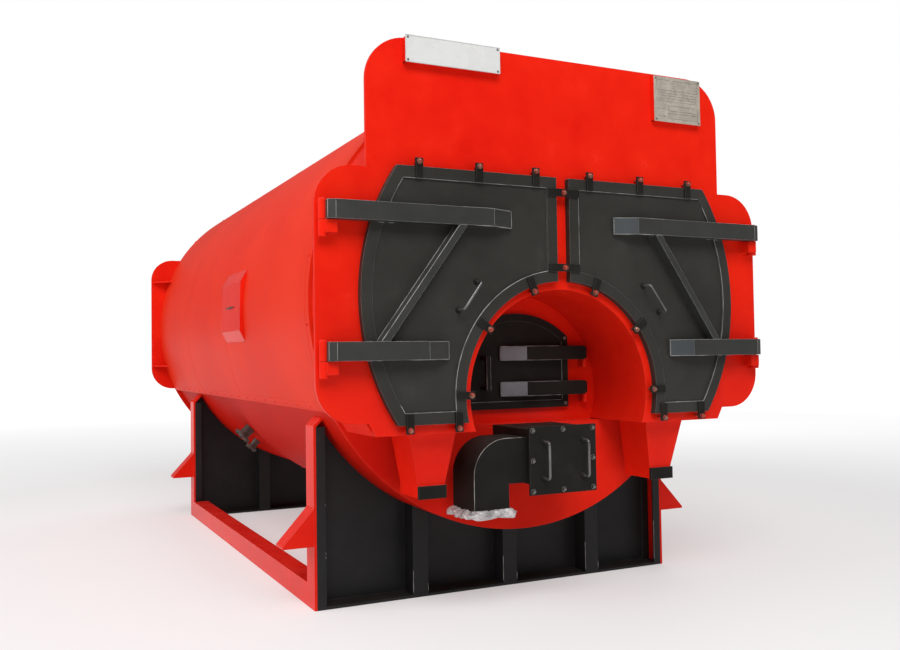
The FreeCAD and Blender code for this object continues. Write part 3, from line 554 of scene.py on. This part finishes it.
# ------------------------------------------------------------------------- duct film
# Thin clear packing film bunched round the duct's open lower end to keep it clean in
# transit.  It is one sheet gathered into creases and tucked back under the mouth.
made = bpy.data.materials.new("creased_film")
made.use_nodes = True
made.node_tree.nodes.clear()
tone = Tone(made.node_tree)
place = tone.add("ShaderNodeTexCoord", out=3)
crease_relief_and_shade = place.cloud(46.0, 5.0, 0.7, (0.8, 1.0, 3.0))
haze = place.cloud(28.0, 4.0)
shine = tone.add("ShaderNodeBump", None, {"Strength": 0.8, "Distance": 0.002, "Height": crease_relief_and_shade})
# The creases also drive the film's colour from dark grey to near white: painted shade and painted
# highlights along the folds, over the haze of the film itself.
shader = tone.add("ShaderNodeBsdfPrincipled", None, {
    "Base Color": (haze * 0.4 + crease_relief_and_shade.held(0.38, 0.62) * 0.6).between((0.34, 0.31, 0.31),
                                                                        (0.95, 0.93, 0.93)),
    "Roughness": 0.08 + crease_relief_and_shade * 0.25, "Normal": shine,
    "Alpha": 0.50 + haze.held(0.35, 0.65) * 0.42, "Specular IOR Level": 0.9, "Coat Weight": 0.6,
    "Coat Roughness": 0.08})
tone.add("ShaderNodeOutputMaterial", None, {"Surface": shader})
low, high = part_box("duct_film")
duct_low, duct_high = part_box("air_duct")
leg_wide = 0.172
leg_high = Vector((duct_low.x + leg_wide, duct_high.y, 0))
leg_low = Vector((duct_low.x, duct_low.y, 0))
work, rows, steps, folds = Work(), [], 28, 260
frill, roll, tuck = 0.34, 0.28, 0.38                        # shares of the film's width
tall = high.z - low.z
gap = 0.0006
mid, half = (leg_low + leg_high) / 2, (leg_high - leg_low) / 2
spread = Vector((high.x - leg_high.x, high.y - leg_high.y, 0))
for i in range(steps + 1):
    t = i / steps
    if t < frill:                               # loose frill, flaring out from the duct
        out, z = 0.08 + 0.80 * (t / frill) ** 0.8, high.z - tall * 0.42 * t / frill
    elif t < 1 - tuck:                          # rolled-over edge
        turned_in = (t - frill) / roll * math.pi / 2
        out = 0.88 - 0.10 * (1 - math.cos(turned_in))
        z = high.z - tall * (0.42 + 0.46 * math.sin(turned_in))
    else:                                       # tucked in under the mouth
        out, z = 0.78 - 1.30 * (t - (1 - tuck)) / tuck, low.z + 0.005
    row = []
    for j in range(folds):
        a = math.tau * j / folds
        c, k = math.cos(a), math.sin(a)
        square = (abs(c) ** 8 + abs(k) ** 8) ** (-1 / 8)
        x, y = mid.x + c * square * half.x, mid.y + k * square * half.y
        seed = Vector((x * 22, y * 22, z * 30))
        crease = (noise.noise(seed) * 0.30 + noise.noise(seed * 2.9) * 0.18
                  + noise.noise(seed * 7.0) * 0.07)
        pinch = 0.10 * abs(noise.noise(seed * 4.1)) * min(1.0, 5 * t)
        reach = out * (1.0 + crease * min(1.0, 4 * t)) - pinch
        rise = (0.012 * noise.noise(seed * 1.3 + Vector((7, 3, 1)))
                + 0.004 * noise.noise(seed * 5.0))
        spot = (x + c * square * spread.x * reach, y + k * square * spread.y * reach, z + rise)
        row.append(Vector([min(max(spot[n], low[n] + gap), high[n] - gap) for n in range(3)]))
    rows.append(row)
work.skin(rows, ends=False)
work.faces.append(tuple(len(work.points) - folds + j for j in range(folds)))
film = work.finish("duct_packing_film", made, "boiler", "clear_film", 60)
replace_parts(film, "duct_film")

# ------------------------------------------------------------------------- tube ends
# Behind the doors the smoke tubes are expanded and seal welded into the tube plate, each
# standing a few millimetres proud.  Heat and soot have browned them.
sooty = enamel("tube_end_scale", (0.05, 0.026, 0.018), (0.13, 0.07, 0.05), (0.25, 0.2, 0.17),
               gloss=0.6, wear=0.6, dust=0.5, soot=0.4)
# Each tube's bore is closed by a thin near-black gloss disc: soot, and painted shade for the dark
# hollow of the tube behind it.
bore_soot_and_shade = enamel("tube_bore_soot_and_shade", (0.004, 0.004, 0.004), (0.010, 0.009, 0.008), (0.03, 0.02, 0.02),
              gloss=0.85, wear=0.0, dust=0.0)
work, bore_shade_discs = Work(), Work()
low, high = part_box("front_tube_plate")
axis_z = high.z * 1000 - (high.x - low.x) * 500
plate_y = (low.y - face_y) * 1000
liner_low, liner_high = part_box("niche_liner")
arch_z = (liner_high.z * 1000) - (liner_high.x - liner_low.x) * 500
arch_r = (liner_high.x - liner_low.x) * 500
row_pitch, tube_pitch = 82, 94
widest, lowest, clear = 965, 905, 62                        # the plate's drilled part
for row in range(-11, 12):
    z = axis_z + row * row_pitch
    for col in range(-12, 13):
        x = (col + 0.5 * (row % 2)) * tube_pitch
        if (math.hypot(x, z - axis_z) > widest or math.hypot(x, z - arch_z) < arch_r + clear
                or z < lowest):
            continue
        work.turned(at(x, plate_y, z), (0, -1, 0), [(-0.5, 37), (2.0, 35.5), (4.0, 32.5),
                                                    (7.0, 31.8), (7.0, 28.0), (0.4, 28.0)], 20)
        bore_shade_discs.turned(at(x, plate_y, z), (0, -1, 0), [(0.45, 28.1), (0.7, 20.0)], 20)
work.finish("smoke_tube_ends", sooty, "boiler", "red_paint")
bore_shade_discs.finish("smoke_tube_bore_shade", bore_soot_and_shade, "boiler", "cast_iron")

# ------------------------------------------------------------------------- fire bars
# The grate is two rows of loose cast-iron bars laid side by side, with air slots between
# them.  They are scaled grey-brown from the fire.
iron = metal("scaled_cast_iron", (0.05, 0.045, 0.042), (0.13, 0.11, 0.10), 0.7,
             (0.14, 0.06, 0.03), 0.9)
low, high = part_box("fire_grate")
x0, x1 = low.x * 1000 + 6, high.x * 1000 - 6
y0, y1 = (low.y - face_y) * 1000, (high.y - face_y) * 1000
z0, z1 = low.z * 1000, high.z * 1000
work, count = Work(), 26
pitch = (x1 - x0) / count
for k in range(count):
    a = x0 + pitch * k + 3.5
    b = a + pitch - 7
    for start, stop in ((y0, (y0 + y1) / 2 - 3), ((y0 + y1) / 2 + 3, y1)):
        work.skin([[at(x, y, z) for x, z in (
            (a + 6, z0 + 2), (b - 6, z0 + 2), (b, z1 - 3), (b - 3, z1 - 0.2), (a + 3, z1 - 0.2),
            (a, z1 - 3))] for y in (start, stop)])
for y in (y0 + 25, (y0 + y1) / 2, y1 - 25):
    work.bar((x0, y - 14, z0), (x1, y + 14, z0 + 14), 2)
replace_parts(work.finish("fire_bars", iron, "boiler", "cast_iron", 30), "fire_grate")

# ------------------------------------------------------------------------- door linings
# Each smoke-box door carries a heat shield of folded plate on its back, bolted through
# spacers, and a white rope seal let into a groove near the edge.
shield = metal("heat_shield_steel", (0.10, 0.075, 0.06), (0.22, 0.17, 0.14), 0.55,
               (0.16, 0.06, 0.03), 0.8)
made = bpy.data.materials.new("rope_seal_fibre")
made.use_nodes = True
made.node_tree.nodes.clear()
tone = Tone(made.node_tree)
place = tone.add("ShaderNodeTexCoord", out=3)
twist, dirt = place.cloud(260.0, 2.0), place.cloud(9.0, 4.0)
relief = tone.add("ShaderNodeBump", None, {"Strength": 0.9, "Distance": 0.001, "Height": twist})
shader = tone.add("ShaderNodeBsdfPrincipled", None, {
    "Base Color": (dirt * 0.7 + twist * 0.3).held(0.3, 0.7).between((0.20, 0.18, 0.15),
                                                                    (0.55, 0.52, 0.46)),
    "Roughness": 0.8 + twist * 0.15, "Normal": relief})
tone.add("ShaderNodeOutputMaterial", None, {"Surface": shader})
door_low, door_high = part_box("right_door_panel")
back_y = (door_high.y - face_y) * 1000
door_r, door_x, door_lap = 968, 33, 28                      # rim, centre edge, and gap at the arch


def round_line(r, middle, first, last, steps, count):
    """Places on a circle about the centre line, stepping from one angle towards another."""
    turns = [first + (last - first) * k / steps for k in range(count)]
    return [(r * math.cos(a), middle + r * math.sin(a)) for a in turns]


def door_line(inset, side, y):
    """Points round a smoke-box door, so far in from its edge."""
    x0, top, foot = door_x + inset, door_high.z * 1000 - inset, door_low.z * 1000 + inset
    ro, ri = door_r - inset, arch_r + door_lap + inset
    spots = [(x0, arch_z + math.sqrt(ri * ri - x0 * x0)), (x0, top)]
    spots += round_line(ro, axis_z, math.asin((top - axis_z) / ro),
                        math.asin((foot - axis_z) / ro), 24, 25)
    spots += round_line(ri, arch_z, math.asin((foot - arch_z) / ri), math.acos(x0 / ri), 20, 20)
    return [at(side * x, y, z) for x, z in spots]


for hand, side in (("left", -1), ("right", 1)):
    work = Work()
    path = door_line(26, side, back_y - 7.2)
    work.swept(path + path[:2], 7.5, 8)
    work.finish(hand + "_door_rope_seal", made, hand + "_door", "white_plate")
    work = Work()
    rows = [door_line(inset, side, y)
            for inset, y in ((84, back_y - 0.5), (84, back_y + 20), (86, back_y + 22))]
    work.skin(rows)
    centre = sum(rows[-1], Vector()) / len(rows[-1])
    for k in range(0, len(rows[-1]), 6):
        spot = rows[-1][k].lerp(centre, 0.1)
        work.turned(spot, (0, 1, 0), [(-1, 13), (1.5, 13), (1.5, 9.6), (7, 9.6), (8, 8.4)], 12)
    work.finish(hand + "_door_heat_shield", shield, hand + "_door", "bare_steel", 30)

# ------------------------------------------------------------------------- strap welds
# Straps and brace are welded to the rim and to each other in short stitches that show as
# small grey scallops through the black.
rim_y, strap_y = -35, -84                                   # the fronts of the rim and the straps
brace_x = {"left": (524, 882), "right": (495, 828)}         # the brace's top and foot
for hand, side in (("left", -1), ("right", 1)):
    work = Work()
    for k, (low, high) in enumerate(solids_of(hand + "_door_straps")):
        z0, z1 = low.z * 1000, high.z * 1000
        reach = math.sqrt(door_r ** 2 - (z1 - axis_z) ** 2)
        for z in (z0, z1):
            for x in (reach - 46, reach - 4):
                work.bead([at(side * x, rim_y, z), at(side * (x - 26), rim_y, z)], 3.6, k)
    low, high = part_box(hand + "_door_brace")
    for z, x in zip((high.z * 1000, low.z * 1000), brace_x[hand]):
        work.bead([at(side * (x - 17), strap_y, z), at(side * (x + 17), strap_y, z)], 3.0, 5)
    work.finish(hand + "_strap_welds", rubbed, hand + "_door", "black_paint")

# ------------------------------------------------------------------------- painted edge highlights
# Painted highlights: fine broken pale lines along the left door's brace and arched edge, the right
# door's outer edge, the ends of the straps and the foot of each rim, where those edges catch the lamps.
# Pale grey for the painted highlight lines on edges that catch the lamps.
highlight_paint = enamel("painted_edge_highlight", (0.16, 0.16, 0.15), (0.42, 0.41, 0.39), (0.70, 0.69, 0.66), gloss=0.3,
               wear=0.6, dust=0.0, radius=0.001, sheen=0.5, blotch=0.9)


def paint_highlight_line(work, path, size, seed):
    """A painted highlight line whose width wanders and fades out in places."""
    spots = []
    for a, b in zip(path, path[1:]):
        steps = max(1, int((b - a).length * 1000 / 9))
        spots += [a.lerp(b, k / steps) for k in range(steps)]
    spots.append(path[-1])
    sizes = [size * max(0.25, 0.85 + 0.9 * noise.noise(Vector((i * 0.21, seed, 0))))
             for i in range(len(spots))]
    sizes[0] = sizes[-1] = size * 0.2
    work.swept(spots, sizes, 5)


def end_cap(work, low, high, near, far):
    """A thin plate on a strap's sloping end; near and far are each (x, back, front)."""
    work.skin([[at(x, y, z) for y, z in ((back, low), (front, low), (front, high), (back, high))]
               for x, back, front in (near, far)])


# The right door's strap ends slope towards the lamps, so their caps take a lighter, bluer black: a
# painted highlight.  The left door's caps keep the strap black.
highlit_cap_paint = enamel("strap_cap_painted_highlight", (0.034, 0.039, 0.042), (0.060, 0.068, 0.072),
                (0.45, 0.47, 0.48), gloss=0.32, wear=0.8, dust=0.1, radius=0.002, sheen=0.35, film=0.05)
for hand, side in (("left", -1), ("right", 1)):
    work, caps = Work(), Work()
    low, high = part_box(hand + "_door_brace")
    z0, z1 = low.z * 1000, high.z * 1000
    rim = door_line(50, side, -34)
    if side < 0:                                            # brace and arched edge, on the left door
        top_x, foot_x = brace_x[hand]
        wide = 15 / math.sin(math.atan2(z1 - z0, foot_x - top_x))
        for y, size, seed in ((strap_y, 1.5, 1), (-27, 1.9, 2)):
            paint_highlight_line(work, [at(-foot_x - wide, y, z0), at(-top_x - wide, y, z1)], size, seed)
        paint_highlight_line(work, rim[27:] + rim[:1], 1.7, 3)
        paint_highlight_line(work, rim[2:8], 0.8, 4)
    else:                                                   # outer edge, on the right door
        paint_highlight_line(work, rim[3:27], 1.6, 3)
        paint_highlight_line(work, rim[:2], 0.9, 4)
    paint_highlight_line(work, rim[25:28], 1.4, 5)
    paint_highlight_line(work, rim[1:3], 0.8, 6)
    for k, (low, high) in enumerate(solids_of(hand + "_door_straps")):
        end = (high.x if side > 0 else low.x) * 1000
        tip = (low.x if side > 0 else high.x) * 1000
        z0, z1 = low.z * 1000, high.z * 1000
        paint_highlight_line(work, [at(end, -71, z0), at(end, -71, z1)], 1.4, 7 + k)
        paint_highlight_line(work, [at(end - side * 30, strap_y, z) for z in (z0, z1)], 0.9, 9 + k)
        for z, reach, size, seed in ((z1, 260, 0.8, 11), (z0, 200, 1.2, 13)):
            paint_highlight_line(work, [at(tip, -40, z), at(tip + side * 112, strap_y, z),
                       at(tip + side * reach, strap_y, z)], size, seed + k)
        paint_highlight_line(work, [at(tip + side, -41, z0), at(tip + side, -41, z1)], 1.0, 15 + k)
        end_cap(caps, z0 + 1.5, z1 - 1.5, (tip + side * 3, -41.0, -42.4),
                (tip + side * 109, -82.6, -84.2))
    work.finish(hand + "_door_painted_highlights", highlight_paint, hand + "_door", "bare_steel")
    caps.finish(hand + "_strap_end_caps", strap_black if side < 0 else highlit_cap_paint, hand + "_door",
                "black_paint", 20)

# ------------------------------------------------------------------------- cladding joints
# The outer sheets are lapped and held by small self-drilling hexagon screws, along both long
# seams, round both ends of the upper sheet and round the rear edge of the lower one.
work = Work()
low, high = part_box("cladding_upper")
clad_r = (high.x - low.x) * 500
seam = math.radians(27.2)                                   # how far the seams lie below the axis
last = (high.y - face_y) * 1000


def sheet_screw(y, angle):
    """A washer and a hexagon head on the cladding."""
    out = Vector((math.cos(angle), 0, math.sin(angle)))
    spot = at(clad_r * out.x, y, axis_z + clad_r * out.z)
    work.turned(spot, out, [(-0.6, 7.2), (0.8, 7.0), (1.4, 5.4)], 14)
    work.turned(spot, out, [(1.2, 4.6), (4.6, 4.6), (5.4, 4.0)], 6, y)


edge = -seam + 0.022
for angle in (edge, math.pi - edge):
    for k in range(20):
        sheet_screw(430 + k * (last - 480) / 19, angle)
for k in range(15):
    for y in (345, last - 24):
        sheet_screw(y, -seam + 0.1 + (math.pi + 2 * seam - 0.2) * k / 14)
lower_last = (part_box("cladding_lower")[1].y - face_y) * 1000
for k in range(9):
    sheet_screw(lower_last - 26, math.pi + seam + 0.06 + (math.pi - 2 * seam - 0.12) * k / 8)
work.finish("cladding_screws", red, "boiler", "red_paint")
work = Work()


def on_shell(r, angle, y):
    """The place at an angle round the shell's axis, from the right-hand side upwards."""
    return at(r * math.cos(angle), y, axis_z + r * math.sin(angle))


start, stop = -seam, math.pi + seam
for y in (376, 1990, 3150):
    rows = []
    for k in range(97):
        a = start + (stop - start) * k / 96
        rows.append([on_shell(clad_r + h, a, y + d) for d, h in (
            (-14, -0.5), (-14, 0.4), (-12, 0.7), (12, 0.7), (14, 0.4), (14, -0.5))])
    work.skin(rows)
for side, a in ((-1, stop), (1, start)):
    work.skin([[on_shell(clad_r + h, a + side * d / clad_r, y) for d, h in (
        (2, -0.5), (2, 1.4), (3, 1.9), (42, 1.2), (43, 0.8), (43, -0.5))] for y in (312, last)])
work.finish("cladding_laps", sheen_lit_shell_red, "boiler", "red_paint")

# ------------------------------------------------------------------------- access cover trim
# The side cover is a folded box with a lift-off lower half: narrow strips cover the joint, the
# folds and both ends, and a long bar latch with a turn button holds the halves.
low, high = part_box("side_access_cover")
y0, y1 = (low.y - face_y) * 1000, (high.y - face_y) * 1000
work, latch = Work(), Work()
lower_fold, joint, upper_fold = 1306, 1437, 1570


def cover_x(z):
    """How far the cover stands out at a height."""
    spots = [(1243, -1070), (lower_fold, -1101), (upper_fold, -1094), (1639, -1054)]
    for (za, xa), (zb, xb) in zip(spots, spots[1:]):
        if z <= zb:
            return xa + (xb - xa) * max(0.0, z - za) / (zb - za)


for z in (lower_fold, joint, upper_fold):
    work.skin([[at(cover_x(z) - h, y, z + d) for d, h in ((-2, -2), (-2, 0.4), (2, 0.4), (2, -2))]
               for y in (y0 + 2, y1 - 2)])
for y in (y0 + 5, y1 - 5):
    work.skin([[at(cover_x(z) - h, y + d, z) for d, h in ((-4, -2), (-4, 0.7), (4, 0.7), (4, -2))]
               for z in (1246, lower_fold, upper_fold, 1636)])
work.finish("access_cover_strips", red, "boiler", "red_paint")
z, y = joint, (y0 + y1) / 2
x = cover_x(z)
latch.turned(at(x, y, z), (-1, 0, 0), [(-1, 9), (2, 9), (3, 8), (3, 5), (5, 5), (6, 4.5)], 24)
latch.skin([[at(x - 4 - h, y + d, z + e) for e, h in ((-4, 0), (4, 0), (3, 3), (-3, 3))]
            for d in (-84, -80, 80, 84)])
latch.finish("access_cover_latch", black, "boiler", "black_paint")

# ------------------------------------------------------------------------- shell fittings
# Blank flanges on the two short branches are pulled up by hexagon bolts; behind the rear
# plate the cover is bolted round its edge in the same way.
zinc = metal("zinc_bolts", (0.34, 0.33, 0.32), (0.58, 0.57, 0.54), 0.32, (0.22, 0.12, 0.07), 0.45)
# The branch flanges and their bolt heads take a dark steel, darker than the other bolts: partly their
# own dark finish, partly painted shade for the shadow they sit in.
dark_flange_and_shade = metal("flange_steel_and_painted_shade", (0.07, 0.065, 0.06), (0.16, 0.15, 0.14), 0.5,
               (0.18, 0.07, 0.04), 0.6)
coat(dark_flange_and_shade, "shell_nozzles")
work, heads = Work(), Work()
for low, high in solids_of("shell_nozzles"):
    mid = (low + high) / 2
    centre = Vector((0, mid.y, axis_z / 1000))
    out = (mid - centre).normalized()
    radius = (high.y - low.y) * 500
    tip = max((v.co - centre).dot(out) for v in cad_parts["shell_nozzles"].data.vertices
              if abs(v.co.y - mid.y) < radius / 1000 + 0.001)
    side = out.orthogonal().normalized()
    other = out.cross(side)
    for k in range(6):
        a = math.tau * k / 6
        spot = centre + out * tip + (side * math.cos(a) + other * math.sin(a)) * (radius * 0.76 / 1000)
        heads.turned(spot, out, [(-0.4, 8.2), (1.4, 8.2), (1.4, 6.6), (6.6, 6.6), (7.6, 5.6)], 6, k)
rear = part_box("rear_plate")[1]
cover_r = (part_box("rear_cover")[1].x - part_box("rear_cover")[0].x) * 500
circle_r, bolts = (cover_r + 62) / 1000, 32
for k in range(bolts):
    a = math.tau * (k + 0.5) / bolts
    spot = Vector((circle_r * math.cos(a), rear.y, axis_z / 1000 + circle_r * math.sin(a)))
    work.turned(spot, (0, 1, 0), [(-0.4, 17), (2.4, 17)], 24)
    work.turned(spot, (0, 1, 0), [(2.4, 14.4), (13, 14.4), (15, 12.4)], 6, k * 0.7)
    work.turned(spot, (0, 1, 0), [(14, 7.8), (22, 7.8), (23, 6.8)], 14)
work.finish("rear_cover_bolts", zinc, "boiler", "bare_steel", 30)
heads.finish("branch_flange_bolts", dark_flange_and_shade, "boiler", "bare_steel", 30)

# ------------------------------------------------------------------------- saddle stitching
# The saddle web is a plate let in behind an angle on each side and tacked to it; its ribs and
# base are fillet welded.  Short pale lines on the front ribs' edges and corners near the floor are
# painted highlights.
work, angles, saddle_highlights = Work(), Work(), Work()
rib_x, lip, seat_r = (-490, 0, 490), 44, 1081
for node in ("front_saddle", "rear_saddle"):
    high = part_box(node)[1]
    x1, web = high.x * 1000, (high.y - face_y) * 1000 - 12
    for side in (-1, 1):
        xa, xb = sorted((side * (x1 - lip), side * x1))
        angles.bar((xa, web - 6, 14), (xb, web + 1, 820), 1.5)
        for z in (90, 300, 520, 760):
            x = side * (x1 - lip)
            work.bead([at(x, web - 3, z), at(x, web - 3, z + 24)], 3.5, z)
    for x in rib_x:
        for d in (-8, 8):
            top = axis_z - math.sqrt(seat_r ** 2 - x * x) - 4
            for z in range(30, int(top) - 40, 150):
                work.bead([at(x + d, web - 1, z), at(x + d, web - 1, z + 46)], 3.4, z)
    work.bead([at(-x1 + 10, web - 1, 14), at(x1 - 10, web - 1, 14)], 4.0, 4)
highlight_y = 560.6                                            # the front saddle's own front edges
for x in rib_x:
    for d, foot, top in ((-6, 24, 150 + x * 0.04), (72, 24, 60)):
        paint_highlight_line(saddle_highlights, [at(x + d, highlight_y, foot), at(x + d, highlight_y, top)], 1.5, x + d)
paint_highlight_line(saddle_highlights, [at(930, highlight_y, 30), at(930, highlight_y, 240)], 1.3, 3)
for z in (232, 250, 470):
    paint_highlight_line(saddle_highlights, [at(-930, highlight_y, z), at(-930, highlight_y, z + 9)], 3.2, z)
saddle_highlights.finish("saddle_painted_highlights", highlight_paint, "boiler", "bare_steel")
angles.finish("saddle_angles", web_black, "boiler", "black_paint")
work.finish("saddle_welds", web_black, "boiler", "black_paint")

# ------------------------------------------------------------------------- bracket and hopper seams
# The jacking brackets, soot hoppers and the front shell joint are run with one continuous
# fillet each and painted with the rest.
work = Work()
for node in ("right_jacking_brackets", "left_jacking_brackets"):
    for low, high in solids_of(node):
        inner = low.x if "right" in node else high.x
        for y in (low.y, high.y):
            work.bead([Vector((inner, y, low.z)), Vector((inner, y, high.z))], 4.0, 2)
        work.bead([Vector((inner, low.y, high.z)), Vector((inner, high.y, high.z))], 4.0, 3)
box_r = clad_r - 15
work.bead([on_shell(box_r, -0.55 + (math.pi + 1.1) * k / 120, 18) for k in range(121)], 5.0, 9)
inner, outer, mouth = 505, 724, 822                         # a soot hopper's top edge
for side in (-1, 1):
    for x in (inner, outer):
        work.bead([at(side * x, 62, mouth), at(side * x, 268, mouth)], 3.6, 6)
    work.bead([at(side * x, 61, mouth) for x in (inner, outer)], 3.6, 7)
    work.bead([at(side * x, 91, 596) for x in (548, 672)], 3.0, 8)
work.finish("red_fillet_welds", red, "boiler", "red_paint")

# ------------------------------------------------------------------------- duct edges
# The duct is folded from 5 mm sheet with its front plate welded to the bend; a fine pale line
# along that front corner is a painted highlight.
work = Work()
low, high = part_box("air_duct")
x0, z1, y = low.x * 1000, high.z * 1000, (low.y - face_y) * 1000
bend = 160
curve = [at(x0 + bend - bend * math.cos(a), y, z1 - bend + bend * math.sin(a))
         for a in (math.pi / 2 * k / 24 for k in range(25))]
paint_highlight_line(work, [at(x0, y, low.z * 1000 + 20)] + curve + [at(-185, y, z1)], 1.3, 31)
work.finish("duct_painted_highlight", highlight_paint, "boiler", "bare_steel")

# ------------------------------------------------------------------------- ash cover bolts
# The ash-pit cover is pulled on to its frame by eight plated bolts with washers, which stand
# out light against the black.
cover_steel = metal("cover_bolt_steel", (0.05, 0.047, 0.043), (0.42, 0.41, 0.38), 0.28,
                    (0.10, 0.06, 0.04), 0.5)
work, chance = Work(), random.Random(5)
low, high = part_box("ash_pit_cover")
inset, middle = 0.017, (low + high) / 2
for x in (low.x + inset, middle.x, high.x - inset):
    for z in (low.z + inset, middle.z, high.z - inset):
        if abs(x) + abs(z - middle.z) < 0.01:
            continue
        spot = Vector((x, face_y - 0.0002, z))
        work.turned(spot, (0, -1, 0), [(-0.2, 12.4), (1.0, 12.4), (1.4, 11.8)], 20)
        work.turned(spot, (0, -1, 0), [(7.6, 7.4), (8.7, 7.2), (9.4, 5.6), (9.6, 2.0)], 12,
                    chance.uniform(0, 1))
work.finish("ash_cover_bolts", cover_steel, "boiler", "bare_steel", 30)

# ------------------------------------------------------------------------- fire door fixings
# The fire door's frame carries small bright corner bolts.  Its two straps end in welded caps whose
# pale grey is a painted highlight, and pale lines along the straps, raised rim and pull bar are painted
# highlights.
work = Work()
low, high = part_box("fire_door_panel")
highlit_fire_cap_paint = enamel("fire_strap_cap_painted_highlight", (0.10, 0.11, 0.12), (0.22, 0.23, 0.25), (0.5, 0.5, 0.5),
                  gloss=0.35, wear=0.8, dust=0.1, radius=0.002, sheen=0.3)
inset, shoulder = 0.018, 0.342
for x in (high.x - inset, low.x + inset):
    for z in (low.z + inset, low.z + shoulder):
        work.turned(Vector((x, low.y, z)), (0, -1, 0),
                    [(-0.4, 9.5), (1.6, 9.5), (1.6, 7.4), (7, 7.4), (8, 6.2)], 6, x * 9)
work.finish("fire_door_bolts", cover_steel, "fire_door", "bare_steel", 30)
caps, work = Work(), Work()
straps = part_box("fire_door_straps")
tip, face = straps[0].x * 1000, (low.y - face_y) * 1000
front = face - 45
lower_strap, upper_strap, half_strap, half_cap = 984, 975 + 0.392 * 464, 34, 32
for z in (lower_strap, upper_strap):
    end_cap(caps, z - half_cap, z + half_cap, (tip + 3, face - 6.6, face - 8.2),
            (tip + 128, front + 1.2, front - 0.5))
    for h in (z - half_strap, z + half_strap):
        paint_highlight_line(work, [at(tip, face - 7, h), at(tip + 130, front, h), at(tip + 320, front, h)], 0.9, h)
    paint_highlight_line(work, [at(tip + 0.5, face - 7, h) for h in (z - half_strap, z + half_strap)], 0.9, z)
frame_wide, rim_top = 36, 1218
x1, z0 = high.x * 1000 - frame_wide, low.z * 1000 + frame_wide
paint_highlight_line(work, [at(x1, face, z0), at(x1, face, rim_top)], 1.3, 21)
paint_highlight_line(work, [at(-x1, face, z0), at(x1, face, z0)], 0.9, 22)
pull_low, pull_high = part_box("fire_door_handle")
y = (pull_low.y - face_y) * 1000
for x in (pull_low.x * 1000 + 0.4, pull_high.x * 1000 - 0.4):
    paint_highlight_line(work, [at(x, y, pull_low.z * 1000 + 2), at(x, y, pull_high.z * 1000 - 2)], 0.9, x)
caps.finish("fire_strap_caps", highlit_fire_cap_paint, "fire_door", "black_paint", 20)
work.finish("fire_door_painted_highlights", highlight_paint, "fire_door", "bare_steel")
